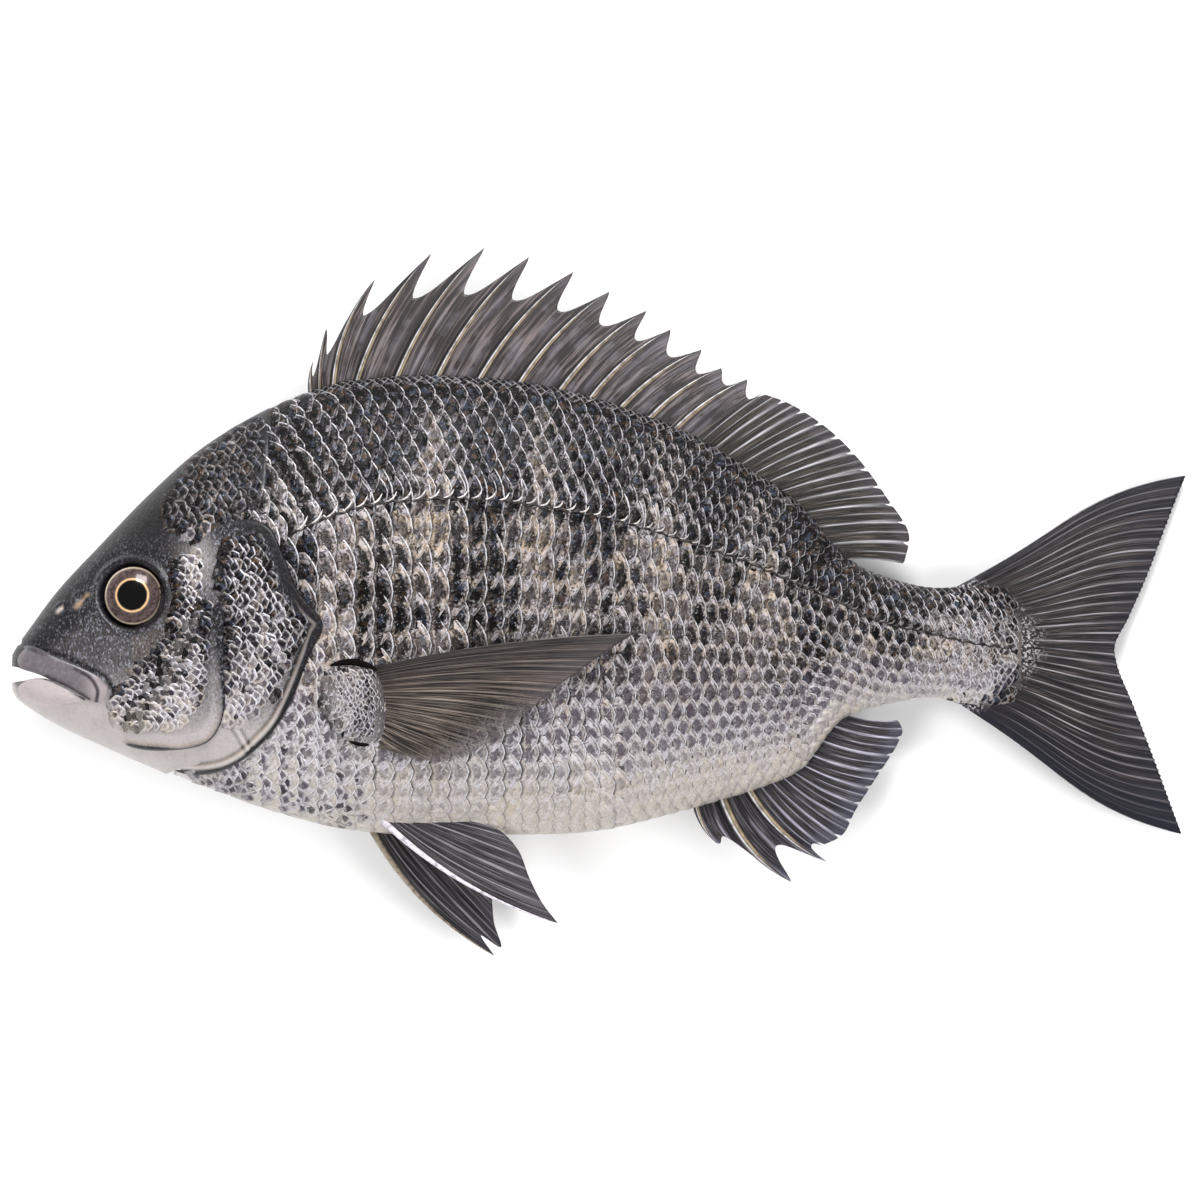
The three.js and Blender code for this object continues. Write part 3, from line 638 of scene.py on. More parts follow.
def scaleSkin(name, rimHighlightColour=(230, 228, 234), edge=(0.0, 0.105), fine=1.0, broken=0.3):
    paint = Paint(name, Specular_IOR_Level=0.14, Coat_Roughness=0.12)
    dark, warm, pale = paint.split(paint.own("scaleTone", "Vector"))
    back, wide, strength = paint.own("plateBack"), paint.own("plateWide"), paint.own("scaleRim")
    leant = paint.own("scaleLean")
    where = paint.place()
    grain = paint.noise(where, 1.0, 3.0, 0.6)
    glint = paint.noise(where, 0.5, 2.0)
    blotch = paint.noise(where, 0.28, 2.0)
    streaks = paint.noise(paint.join(back * (4.2 * fine), wide * (2.2 * fine), blotch * 14.0), 1.0, 2.0, 0.5)
    body = paint.blend(pale, colour(100, 93, 95), colour(178, 172, 174))
    body = paint.blend(paint.limit(pale * 3.0 - 2.0) * 0.95, body, colour(176, 168, 158))
    body = paint.blend(paint.step(streaks, 0.5, 0.66) * (0.48 - pale * 0.15), body, colour(200, 196, 206))
    body = paint.blend(warm * paint.step(blotch, 0.36, 0.6) * 0.95, body, colour(182, 162, 136))
    body = paint.blend(paint.step(glint, 0.56, 0.7) * (0.4 - pale * 0.25), body, colour(108, 122, 146))
    furrows = (1.0 - paint.step(streaks, 0.38, 0.52)) * (0.9 - pale * 0.6) * strength
    body = paint.blend(furrows, body, colour(56, 47, 45))
    along = (back - 0.55) / (0.24 + dark * 0.26)
    across = wide / (0.46 + dark * 0.44 + leant * 0.3)
    away = along * along + across * across + (grain - 0.5) * 1.3 + (streaks - 0.5) * 1.4
    heart = (1.0 - paint.step(away, 0.3, 1.4)) * paint.limit(dark * 1.8)
    tint = paint.blend(heart, body, colour(12, 9, 9))
    soft = (1.0 - paint.step(away, 0.2, 1.2)) * paint.limit((0.97 - pale) * 2.4) * paint.limit(pale * 2.2 - 0.4)
    tint = paint.blend(soft * 0.85, tint, colour(70, 63, 74))
    tint = paint.blend(paint.limit(dark * 1.62 - 0.62 - (streaks - 0.5) * 1.3), tint, colour(14, 11, 12))
    # painted glints: small brown and blue glints in the dark hearts
    tan = paint.step(glint + (streaks - 0.5) * 0.3, 0.48, 0.68) * dark * 0.4
    tint = paint.blend(tan, tint, paint.blend(paint.step(blotch, 0.42, 0.58), colour(104, 80, 60), colour(74, 84, 106)))
    inner = paint.hump(back + (grain - 0.5) * 0.2, 0.22, 0.09) * paint.step(streaks, 0.45, 0.62) * strength
    tint = paint.blend(inner * 0.4 * (1.0 - dark * 0.6), tint, colour(206, 202, 212))
    # the rims: pale silver scale margins with a painted highlight on them
    rim = 1.0 - paint.step(back + (grain - 0.5) * 0.08, *edge)
    # painted highlight: the upper half of each rim, which faces the light, is brighter than the lower half
    lower = mix(0.35, 1.0, paint.step(wide, -0.5, 0.1))
    rim = rim * paint.maths("MAXIMUM", lower, pale) * strength
    rim = paint.limit(rim * (broken + paint.step(glint + (grain - 0.5) * 0.5, 0.4, 0.58) * 1.1) * (1.1 - dark * 0.28))
    tint = paint.blend(rim, tint, colour(*rimHighlightColour))
    seam = paint.step(paint.maths("ABSOLUTE", wide), 0.78, 0.95) * leant * paint.step(grain, 0.42, 0.6) * 0.65
    tint = paint.blend(seam * (1.0 - dark * 0.5), tint, colour(190, 188, 196))
    shade = paint.step(back + (grain - 0.5) * 0.2, 0.8, 1.0) * strength * 0.8
    tint = paint.blend(shade, tint, colour(16, 13, 15))
    spark = paint.step(paint.noise(where, 1.5, 2.0, 0.6), 0.6, 0.7) * paint.step(glint, 0.4, 0.55)
    spark = spark * (0.4 - pale * 0.2) * (1.0 - dark * 0.5)
    tint = paint.blend(spark, tint, colour(226, 226, 232))
    relief = paint.bump(streaks * 0.8 + grain, 0.7, 0.0005)
    paint.finish(Base_Color=tint, Metallic=rim * 0.2 + pale * 0.1, Roughness=0.2 + grain * 0.32, Normal=relief,
                 Coat_Weight=0.03 + rim * 0.6 + pale * 0.1)
    return paint.material


# the flanks' scale rows, set out from the lateral line by distance round the body
rows = {
    "pitch": {"above": [(-95, 4.8), (-60, 4.4), (-35, 4.15), (-12, 4.0), (20, 3.7), (60, 3.4), (92, 3.1), (114, 2.4)],
              "below": [(-95, 5.2), (-60, 5.1), (-41, 5.1), (-27, 4.7), (-14, 4.25), (0, 4.0), (27, 3.6), (60, 3.4),
                        (92, 3.1), (114, 2.4)]},
    "count": {"above": 8.2, "below": 11.2},
    "least": {"above": [(-95, 5.0), (0, 4.0), (60, 3.2), (100, 2.7)],
              "below": [(-90, 7.4), (0, 5.6), (60, 4.4), (90, 3.8), (114, 3.0)]},
    "taper": 0.42, "taperRows": 9.0, "leaningEnd": 6.0, "start": -92.0, "end": 106.0,
    "margins": (3.6, 1.5),  # bare strips along the back and the belly
}


def ringRun(turns, x):  # a ring of the skin from the back down, and the way run along it
    ring = skinBare(np.full_like(turns, x), turns, 1.0)
    return ring, runOf(ring)


def flankRows(keep):
    found = []
    turns = np.linspace(math.pi / 2, -math.pi / 2, 240)
    for part in ("above", "below"):
        pitch, least = profile(rows["pitch"][part]), profile(rows["least"][part])
        places = [rows["start"]]
        while places[-1] < rows["end"]:
            places.append(places[-1] + 0.5 * float(pitch(places[-1])))
        for i, x in enumerate(places):
            ring, run = ringRun(turns, x)
            line = np.interp(-turnAt(x, lineY(x)), -turns, run)
            room = line if part == "above" else run[-1] - line
            step, long = max(room / rows["count"][part], float(least(x))), float(pitch(x))
            staggered = part == "above" or x > rows["leaningEnd"]  # else the scales stand in columns
            at, row = line - (0.5 * step if part == "above" else 0), -1 if part == "above" else 0
            while rows["margins"][0] < at < run[-1] - rows["margins"][1]:
                shrunk = step if row < 0 else step * mix(1, 1 - rows["taper"], min(1, row / rows["taperRows"]))
                if (i + row * staggered) % 2 == 0:
                    y = float(np.interp(at, run, ring[:, 1]))
                    if keep(x, y):
                        found.append((x, y, long, shrunk, row))
                at += -shrunk if part == "above" else shrunk
                row += -1 if part == "above" else 1
    x, y, long, high, row = np.array(found).T
    x = x + random.normal(0, 0.12, len(x))
    share = downShare(x, y)
    ahead, behind = (backY(x + away) - share * (backY(x + away) - bellyY(x + away)) for away in (1, -1))
    heading = np.arctan2(ahead - behind, 2.0)
    tone = bodyTone(x, y)
    onLine = (row == 0).astype(float)
    rear = 0.12 * smooth(x, 50, 70) * (1 - smooth(x, 78, 92)) * (1 - smooth(share, 0.3, 0.5))
    rear = rear - 0.34 * smooth(x, 82, 96) * smooth(share, 0.1, 0.35)
    tone[:, 0] = np.clip(tone[:, 0] + random.normal(0, 0.1, len(x)) * (1.1 - share) + 0.15 * onLine + rear, 0, 1)
    tone[:, 1] = np.clip(tone[:, 1] + random.normal(0, 0.12, len(x)), 0, 1)
    tone[:, 2] = np.clip(tone[:, 2] + random.normal(0, 0.05, len(x)), 0, 1)
    rim = mix(1.0, 0.3, smooth(share, 0.84, 0.97)) * mix(0.35, 1.0, smooth(x + 0.5 * (40 - y), -112, -92))
    rim = rim * rimShare(x, y)
    return x, y, np.column_stack([long, high]), heading, tone, rim, row < 0


gill = {
    "outline": [(-90.5, 21), (-85.6, 12), (-82, 3.3), (-75.2, -6), (-78.8, -14.4), (-84.8, -28.9), (-92.4, -39),
                (-102.5, -45.8), (-113, -46.8), (-124, -40), (-126, -10), (-112, 14), (-100, 22)],
    "centre": (-102, -12),
    "rim": [(-96, 23), (-90.2, 20.2), (-86.7, 15.5), (-84.2, 7.4), (-82, 3.3), (-79.3, -1.4), (-75.2, -6),
            (-76.6, -8.2), (-78.8, -14.4), (-82, -22.6), (-84.8, -28.9), (-88, -34.3), (-92.4, -39), (-97, -43.1),
            (-102.5, -45.8), (-109.3, -46.9), (-114.8, -46.6)],
}
cheek = {
    "outline": [(-103, 13), (-102.2, 2), (-102, -18), (-102, -30), (-106, -37.6), (-115, -40.2), (-129, -39),
                (-138, -30), (-132, -14), (-118, 4), (-111, 12)],
    "centre": (-115, -18),
    "rim": [(-101.9, 11.4), (-102.2, 0.5), (-102.2, -10.4), (-101.9, -21.3), (-101.7, -26.7), (-102.2, -31.6),
            (-103.9, -35.4), (-106, -37.9), (-109.3, -39.5), (-114.8, -40.3), (-122.9, -39.8), (-128.4, -39)],
}
eye = {"x": -127.2, "y": 1.6, "radius": 8.4, "depth": 4.6, "proud": 2.4, "turned": 0.4, "aside": 0.55, "buried": 8.5}
nostrils = [(-146, -1.8, 1.1), (-140.6, 0.6, 1.7)]
snoutLine = [(-158, -11.2), (-146, -14.9), (-134.4, -20.3), (-132.2, -24), (-133.4, -28.4)]  # over the upper lip
headEnd = profile([(-70, -119), (-47, -118), (-43, -106), (-36, -98), (20, -95), (30, -91), (60, -89), (70, -88)])


def headLift(x, y):  # the head skin's height over the plain body
    lift = mix(0.35, -1.2, smooth(x, headEnd(y) - 1, headEnd(y) + 2))
    away = np.hypot(x - eye["x"], y - eye["y"])
    lift = lift - 3.4 * (1 - smooth(away, 8.1, 8.9)) + 0.6 * bell(away, 10.0, 0.7) - 0.25 * bell(away, 11.7, 0.9)
    for nx, ny, size in nostrils:
        hole = np.hypot(x - nx, (y - ny) * 1.3)
        lift = lift - 0.9 * bell(hole, 0, 0.8 * size) + 0.35 * bell(hole, 1.5 * size, 0.5)
    return lift - 0.6 * bell(nearLine(snoutLine, x, y), 0, 0.6)


def headTone(points):
    x, y = points[:, 0], points[:, 1]
    share = downShare(x, y)
    dark = np.interp(share, [0, 0.3, 0.42, 0.6, 0.72, 0.82, 1], [1, 0.96, 0.76, 0.64, 0.4, 0.06, 0])
    pale = np.interp(share, [0, 0.35, 0.6, 0.74, 0.84, 1], [0, 0.05, 0.2, 0.4, 0.66, 0.8])
    away = np.hypot(x - eye["x"], y - eye["y"])
    # painted shade: a dark line in the groove where the snout's edge lies over the upper lip
    line = bell(nearLine(snoutLine, x, y), 0, 0.5)
    flash = bell(np.hypot(x + 108, (y - 12) * 0.8), 0, 6.5)  # the pale patch behind the eye
    crown = bell(np.hypot((x + 90) * 0.6, y - 20), 0, 7)
    slit = bell(nearLine([(-142.4, -1.2), (-140.4, 0.4), (-139.4, 1.8)], x, y), 0, 0.9)
    hood = bell(nearLine([(-147.6, -2.6), (-146.2, -1.4)], x, y), 0, 0.7)
    # painted shade: the nostrils' holes are darkened
    hole = bell(nearLine([(-140.4, -0.2), (-139.2, 0.8)], x, y), 0, 0.5) + bell(np.hypot(x + 145.2, y + 1.2), 0, 0.7)
    # painted shade: a dark ring in the crease between the eyeball and its socket
    creaseShade = bell(away, 8.5, 0.75)
    dark = dark - 0.62 * flash + 0.5 * crown + line + 2.0 * creaseShade - 0.9 * slit - hood + 1.5 * hole
    pale = (pale + 0.55 * flash + 0.9 * hood) * (1 - np.clip(1.5 * creaseShade, 0, 1))
    warm = 0.05 + 0.3 * bell(away, 14, 5) * (x > eye["x"]) * (away > 10.5) + 0.9 * slit + 0.35 * hood
    rough = bell(np.hypot((x + 134) * 0.7, y + 14), 0, 13) + 0.9 * smooth(share, 0.12, 0.2) * smooth(x, -124, -108)
    rough = (rough + 0.35 * bell(away, 12, 4)) * (1 - smooth(share, 0.72, 0.85)) * (1 - np.clip(1.5 * creaseShade, 0, 1))
    return {"skinTone": np.clip(np.stack([dark, warm, pale], -1), 0, 1), "skinRough": np.clip(rough, 0.02, 1)}


scaleNet = scaleTree("scaleField")
skinPaint = wetSkin("wetSkin")
loftPiece("trunkSkin", np.linspace(-116, 114.8, 174), 200, lambda x, y: np.full_like(x, -0.3), skinPaint,
          lambda p: {"skinTone": bodyTone(p[:, 0], p[:, 1]), "skinRough": np.full(len(p), 0.5)})
head = loftPiece("headSkin", np.concatenate([np.linspace(-160, -156, 16), np.linspace(-155.6, -84, 160)]), 320,
                 headLift, skinPaint, headTone)
print("skin made")


def flapPiece(name, shape, side, lift, tone, material, around, ringCount, brim=0.03):  # a closed flap on the flank
    edge = path(shape["outline"], True)(np.arange(around) / around)
    rings = 1 - np.linspace(0, 1, ringCount) ** 1.6 * 0.995
    centre = np.array(shape["centre"])
    flatPoints = centre + (edge[:, None, :] - centre) * rings[None, :, None]
    x, y = flatPoints[..., 0], flatPoints[..., 1]
    ringOf = np.broadcast_to(rings, x.shape)
    over = np.clip(1 - (1 - ringOf) / brim, 0, 1)
    top = flank(x, y) + lift(x, y) * np.sqrt(1 - over ** 2) - 0.9 * (ringOf > 0.9995)
    low = flank(x, y) - 2.0
    points = np.vstack([np.stack([x, y, midZ(x) + side * height], -1).reshape(-1, 3) for height in (top, low)])
    half = around * ringCount
    quads = [gridFaces(around, ringCount, closed=True),
             gridFaces(around, ringCount, closed=True, start=half, flip=True)]
    k = np.arange(around)
    after = (k + 1) % around
    quads.append(np.stack([k * ringCount, k * ringCount + half, after * ringCount + half, after * ringCount], -1))
    last = ringCount - 1
    points = np.vstack([points, points[last:half:ringCount].mean(0), points[half + last::ringCount].mean(0)])
    quads = np.vstack(quads)
    caps = []
    for i in range(around):
        a, b = i * ringCount + last, ((i + 1) % around) * ringCount + last
        caps += [(a, b, 2 * half), (b + half, a + half, 2 * half + 1)]
    flipped = signedVolume(points, quads) < 0
    faces = [tuple(q[::-1]) if flipped else tuple(q) for q in quads.tolist() + caps]
    tones = tone(points)
    return meshPiece(name, overTable(points, tableGap["flap"]), faces, material, tones)


def gillTone(points):
    x, y = points[:, 0], points[:, 1]
    tones = headTone(points)
    tone = tones["skinTone"]
    rim = nearLine(path(gill["rim"])(np.linspace(0, 1, 70)), x, y)
    sheen = bell(rim, 1.9, 0.4) * (1 - smooth(y, 2, 10))
    seam = nearLine([(-101, -31.6), (-98.4, -35), (-95.7, -39.8)], x, y)
    tone[:, 0] = tone[:, 0] * 0.9 + 1.2 * bell(rim, 0.4, 0.85) + 0.5 * bell(rim, 3.0, 0.5)
    tone[:, 0] += 0.9 * bell(np.hypot(x + 84, y - 10), 0, 9)
    tone[:, 0] = np.clip(tone[:, 0] - 0.25 * sheen - 0.3 * bell(seam, 0, 0.4) + 0.5 * bell(seam, 1.0, 0.4), 0, 1)
    tone[:, 1] = np.clip(tone[:, 1] + 0.35 * bell(rim, 2.6, 0.5), 0, 1)
    tone[:, 2] = np.clip(tone[:, 2] + 0.2 * sheen + 0.3 * bell(seam, 0, 0.4), 0, 1)
    tones["skinRough"] = np.clip(tones["skinRough"] * smooth(rim, 2.0, 4.0), 0.05, 1)
    return tones


def cheekTone(points):
    x, y = points[:, 0], points[:, 1]
    tones = headTone(points)
    tone = tones["skinTone"]
    rim = nearLine(path(cheek["rim"])(np.linspace(0, 1, 50)), x, y)
    tone[:, 0] = tone[:, 0] * 0.85 + 1.1 * bell(rim, 0, 0.7) + 0.4 * smooth(y, -30, 2) + 0.14
    tone[:, 0] = np.clip(tone[:, 0] - 0.3 * bell(rim, 3.0, 1.2) * (1 - smooth(y, -12, 4)), 0, 1)
    tone[:, 1] = np.clip(tone[:, 1] + 0.25 * bell(rim, 1.3, 0.6) * (1 - smooth(y, -36, -24)), 0, 1)
    tones["skinRough"] = np.clip(tones["skinRough"] * mix(0.65, 1.0, smooth(rim, 4.5, 7.0)) + 0.15, 0.05, 1)
    return tones


pad = {"outline": [(-73.5, -20), (-66, -17.8), (-60, -18.8), (-58.6, -27), (-59.4, -36.5), (-64.5, -39), (-70.5, -36.5),
                   (-75, -28)], "centre": (-66, -28)}


def padTone(points):
    tone = bodyTone(points[:, 0], points[:, 1])
    tone[:, 0] = np.clip(0.35 + 0.4 * smooth(points[:, 0], -66, -59) + axilShade(points[:, 0], points[:, 1]), 0, 1)
    return {"skinTone": tone, "skinRough": np.full(len(points), 0.4)}


leaning = {"lean": 0.24, "power": 1.6, "apex": 0.08, "jitter": 0.06}
upright = {"point": 0.6, "power": 2.0, "spread": 0.98}
oval = {"point": 0.62, "power": 1.7, "spread": 1.0}

# scales on the trunk, then smaller ones on the breast, cheek and gill cover
trunkScales = scaleSkin("trunkScales")
gillLine = path(gill["rim"])(np.linspace(0, 1, 60))


def onTrunk(x, y):
    if x < -70 and -52 < y < 24:
        behind = np.interp(y, gillLine[::-1, 1], gillLine[::-1, 0])
        return x > behind - 1.5
    return x > -118 + max(0.0, (y - 20)) * 0.75


for side, word in bothSides:
    x, y, sizes, heading, tone, rim, above = flankRows(onTrunk)
    front = x < rows["leaningEnd"]
    parts = (("upper", above & front, leaning), ("upperRear", above & ~front, {"power": 1.6}),
             ("middle", ~above & (y > -24), upright), ("lower", ~above & (y <= -24), oval))
    for part, chosen, changes in parts:
        scalePiece(part + "Scales" + word, scaleNet, x[chosen], y[chosen], side, sizes[chosen], heading[chosen],
                   tone[chosen], rim[chosen], trunkScales, across=9 if side > 0 else 7, changes=changes)


def patchOfScales(outline, pitch, high):  # a staggered lattice inside an outline
    shape = np.array(outline, float)
    low, top = shape.min(0) - 2, shape.max(0) + 2
    found = []
    for j, v in enumerate(np.arange(low[1], top[1], high)):
        for u in np.arange(low[0], top[0], pitch):
            found.append((u + (j % 2) * pitch / 2, v))
    p = np.array(found)
    p += random.normal(0, 0.11 * pitch, p.shape)
    keep = insideOutline(closedLine(outline), p[:, 0], p[:, 1]) > 0
    return p[keep, 0], p[keep, 1]


patches = {
    "breast": {"pitch": 2.6, "high": 2.3, "rim": 0.6, "outline": [
        (-113, -47.4), (-102, -45), (-92, -38.5), (-84, -27), (-79, -14), (-74, -12), (-66, -20), (-64, -38),
        (-62, -50), (-64, -61), (-82, -58.4), (-100, -52)]},
    "nape": {"pitch": 2.6, "high": 2.2, "rim": 0.24, "outline": [
        (-113, 35), (-105, 43), (-96, 48.5), (-84, 54), (-82, 42), (-84, 30), (-90, 22), (-99, 21), (-110, 19),
        (-117, 25)]},
    "cheek": {"pitch": 2.2, "high": 1.5, "rim": 0.9, "outline": [
        (-113, 13), (-105, 13), (-104.5, -10), (-106, -28), (-112, -35), (-124, -36), (-132, -30), (-125, -19),
        (-117, -11), (-113.5, 0)]},
    "gillCover": {"pitch": 2.3, "high": 1.9, "rim": 0.9, "outline": [
        (-99, 17), (-91, 18), (-87, 9), (-83, 0), (-78.5, -6), (-81.5, -15), (-87, -27), (-94, -33), (-99.5, -34),
        (-100, -10)]},
    "tailBase": {"pitch": 1.9, "high": 1.5, "rim": 0.9, "outline": [
        (97, 4), (106, 5), (113, 3), (114.6, -12), (113, -27), (106, -29.5), (97, -28)]},
    "pectoralPad": {"pitch": 1.35, "high": 1.1, "rim": 0.8, "outline": pad["outline"]},
}


def cheekLift(x, y):
    return mix(-1.6, 2.1, smooth(x + 138 - 0.64 * (y + 30), 2, 22))


def gillLift(x):
    return mix(-1.5, 1.3, smooth(x, -124, -100))


def padLift(x, y):
    near = np.clip(1 - insideOutline(pad["outline"], x, y) / 7.6, 0, 1)
    return 1.2 * np.sqrt(1 - near ** 2) + 0.05


liftOf = {
    "cheek": lambda x, y: np.maximum(0.45, cheekLift(x, y) + 0.05),
    "gillCover": lambda x, y: np.maximum(0.45, gillLift(x) + 0.05),
    "nape": lambda x, y: np.maximum(headLift(x, y), -0.1) + 0.1, "pectoralPad": padLift,
}
for side, word in bothSides:
    flapPiece("gillCover" + word, gill, side, lambda x, y: gillLift(x), gillTone, skinPaint,
              around=300 if side > 0 else 160, ringCount=48 if side > 0 else 24)
    flapPiece("cheekPlate" + word, cheek, side, cheekLift, cheekTone, skinPaint,
              around=260 if side > 0 else 160, ringCount=44 if side > 0 else 24)
    flapPiece("pectoralPad" + word, pad, side, lambda x, y: 1.2, padTone, skinPaint, around=120, ringCount=24, brim=1.0)
print("head plates made")
smallScales = scaleSkin("smallScales", rimHighlightColour=(214, 211, 217), edge=(0.04, 0.24), fine=0.5, broken=0.42)
for side, word in bothSides:
    for area, choice in patches.items():
        x, y = patchOfScales(choice["outline"], choice["pitch"], choice["high"])
        inside = (y < backY(x) - 0.3) & (y > bellyY(x) + 0.3)
        x, y = x[inside], y[inside]
        lift = liftOf[area](x, y) if area in liftOf else 0.1
        onHead = area in ("cheek", "gillCover", "nape")
        tone = headTone(np.column_stack([x, y, x]))["skinTone"] if onHead else bodyTone(x, y)
        if area in ("cheek", "gillCover"):
            tone[:, 0] += 0.35 * bell(np.hypot((x + 126) * 0.7, y + 30), 0, 9) - 0.2
            tone[:, 2] += 0.12
        if area == "breast":
            tone[:, 0], tone[:, 2] = 0.24, 0.54 + 0.26 * smooth(-y, 52, 60)
        if area == "pectoralPad":
            tone[:, 0] = 0.15 + 0.5 * smooth(x, -68, -61) + axilShade(x, y)
        tone[:, 0] = np.clip(tone[:, 0] + random.normal(0, 0.15 + 0.1 * onHead, len(x)), 0, 1)
        tone[:, 1] = np.clip(tone[:, 1] + onHead * random.normal(0.15, 0.15, len(x)), 0, 1)
        tone[:, 2] = np.clip(tone[:, 2] + 0.08 + random.normal(0, 0.1, len(x)), 0, 1)
        if area == "gillCover":
            tone[:, 0] = np.clip(tone[:, 0] + 0.1 * smooth(y, -22, 8), 0, 1)
        depth = insideOutline(closedLine(choice["outline"]), x, y)
        if area in ("cheek", "gillCover"):
            skinDark = headTone(np.column_stack([x, y, x]))["skinTone"][:, 0]
            tone[:, 0] = np.clip(tone[:, 0] + 0.8 * skinDark * (1 - smooth(depth, 0.0, 4.5)), 0, 1)
        rim = choice["rim"] * mix(0.35, 1.0, smooth(depth, 0.0, 0.1 if area in ("tailBase", "pectoralPad") else 4.0))
        rim = rim * np.clip(1 + random.normal(0, 0.3, len(x)), 0.3, 1.7)
        rim = rim * rimShare(x, y)
        swell = 1 + random.normal(0, 0.1, len(x))
        sizes = np.column_stack([swell * choice["pitch"], swell * choice["high"]])
        heading = np.arctan2(backY(x + 1) + bellyY(x + 1) - backY(x - 1) - bellyY(x - 1), 4.0)
        scalePiece(area + "Scales" + word, scaleNet, x, y, side, sizes, heading + random.normal(0, 0.18, len(x)), tone,
                   rim, smallScales, along=3, across=7, lift=lift,
                   changes={"rise": 0.15, "camber": 0.08, "thickness": 0.02, "jitter": 0.3, "seed": 9})

# small dark scales along the back fin's foot
sheath = {"pitch": 2.3, "rows": (0.9, 2.3, 3.7), "from": -84.0, "to": 98.0}
ringTurns = np.linspace(math.pi / 2, 0, 160)
for side, word in bothSides:
    found = []
    for i, x in enumerate(np.arange(sheath["from"], sheath["to"], sheath["pitch"] / 2)):
        ring, run = ringRun(ringTurns, x)
        for row, at in enumerate(sheath["rows"]):
            if (row + i) % 2 == 0:
                found.append((x, float(np.interp(at, run, ring[:, 1]))))
    x, y = np.array(found).T
    tone = bodyTone(x, y)
    tone[:, 0] = np.clip(0.85 + random.normal(0, 0.15, len(x)), 0, 1)
    tone[:, 2] = 0.3
    heading = np.arctan2(backY(x + 1) - backY(x - 1), 2.0)
    scalePiece("sheathScales" + word, scaleNet, x, y, side, np.column_stack([x * 0 + sheath["pitch"], x * 0 + 1.6]),
               heading, tone, np.full(len(x), 0.45), smallScales, along=3, across=7, changes={"rise": 0.3, "seed": 3})
print("scales made")


# the lateral line: a thin dark cord along the scales
linePaint = Paint("linePaint", Roughness=0.5)
lineGrain = linePaint.noise(linePaint.place(), 0.9, 2.0)
linePaint = linePaint.finish(Base_Color=linePaint.blend(
    linePaint.step(lineGrain, 0.42, 0.62), colour(14, 12, 13), colour(66, 58, 56)))
lineX = np.linspace(-84, 112, 260)


# lips
lips = {
    "upper": {"centre": (-146, -18.9), "outline": [
        (-159.9, -15), (-156.4, -11.8), (-147, -15.1), (-137, -19.8), (-133.7, -23), (-135.2, -27.4),
        (-138.6, -27), (-143, -24.2), (-147.5, -22), (-153, -19.6), (-158.6, -17.6)]},
    "lower": {"centre": (-150, -24.8), "outline": [
        (-159.4, -23.4), (-157, -21.4), (-151, -21), (-145, -23.6), (-139.5, -26.6), (-146, -27.9),
        (-152, -28.6), (-157, -27.4)]},
    "gap": [(-166, -16.6), (-156.6, -18.1), (-150.6, -20.4), (-148.6, -21.5), (-151, -21.0), (-158.4, -21.6),
            (-166, -23)],
    "cut": (5.0, 37.0),  # from below the snout to over it
}


def lipSkin():
    paint = Paint("lipSkin", Specular_IOR_Level=0.5, Coat_Roughness=0.2, Coat_Weight=0.4)
    where = paint.place()
    tone = paint.own("lipTone")
    grain = paint.noise(where, 0.9, 4.0, 0.6)
    tint = paint.blend(tone, colour(60, 56, 62), colour(184, 172, 172))
    tint = paint.blend(paint.step(grain, 0.4, 0.75) * 0.3, tint, colour(138, 130, 136))
    tint = paint.blend(paint.limit(-tone), tint, colour(40, 30, 30))
    paint.finish(Base_Color=tint, Roughness=0.32 + grain * 0.2, Normal=paint.bump(grain, 0.3, 0.0003))
    return paint.material


def lipTone(points, tone):
    x, y = points[:, 0], points[:, 1]
    edge = path([(-142.5, -18), (-138.6, -20.6), (-136.6, -24), (-137, -27)])(np.linspace(0, 1, 16))
    # painted shade: dark lines where the lips fold and overlap, along the maxilla's edge, the mouth line and under the
    # snout's edge
    foldShading = bell(nearLine(edge, x, y), 0, 0.4)
    foldShading = foldShading + 1.8 * bell(nearLine([(-150.6, -20.6), (-145, -23.2), (-139.4, -26.6)], x, y), 0, 0.55)
    foldShading = foldShading + 0.5 * bell(nearLine([(-158.4, -11.2), (-147, -14.9), (-137, -19.4), (-133.4, -22.6)], x, y), 0, 0.7)
    return {"lipTone": np.clip(tone - foldShading, -1, 1)}


def mouthCut(piece, tone):  # the open mouth is cut right through the snout
    outline = np.array(lips["gap"])
    n = len(outline)
    points = np.vstack([np.column_stack([outline, np.full(n, z)]) for z in lips["cut"]])
    faces = [tuple(range(n)), tuple(range(2 * n - 1, n - 1, -1))]
    faces += [(i, i + n, (i + 1) % n + n, (i + 1) % n) for i in range(n)]
    mesh = newMesh("mouthCutter", points, faces)
    mesh.materials.append(insidePaint)
    turnOutward(mesh)
    cutter = newObject("mouthCutter", mesh)
    cut = piece.modifiers.new("mouth", "BOOLEAN")
    cut.operation, cut.object, cut.solver, cut.material_mode = "DIFFERENCE", cutter, "EXACT", "TRANSFER"
    made = evaluated(piece)
    piece.modifiers.remove(cut)
    piece.data = made
    addTones(made, tone(np.array([v.co[:] for v in made.vertices]) * 1000))
    bpy.data.objects.remove(cutter)


insidePaint = Paint("mouthInside", Roughness=0.35)
insidePaint = insidePaint.finish(Base_Color=insidePaint.blend(
    insidePaint.noise(insidePaint.place(), 0.6, 2.0), colour(70, 38, 33), colour(116, 80, 72)))
lipPaint = lipSkin()
mouthCut(head, headTone)
for side, word in bothSides:
    flapPiece("upperLip" + word, lips["upper"], side, lambda x, y: 1.25,
              lambda p: lipTone(p, 0.14 + 0.4 * smooth(p[:, 0], -142, -136)), lipPaint, around=200, ringCount=28,
              brim=0.75)
    flapPiece("lowerLip" + word, lips["lower"], side, lambda x, y: 1.1, lambda p: lipTone(p, 0.8), lipPaint, around=160,
              ringCount=28, brim=0.85)
print("lips made")


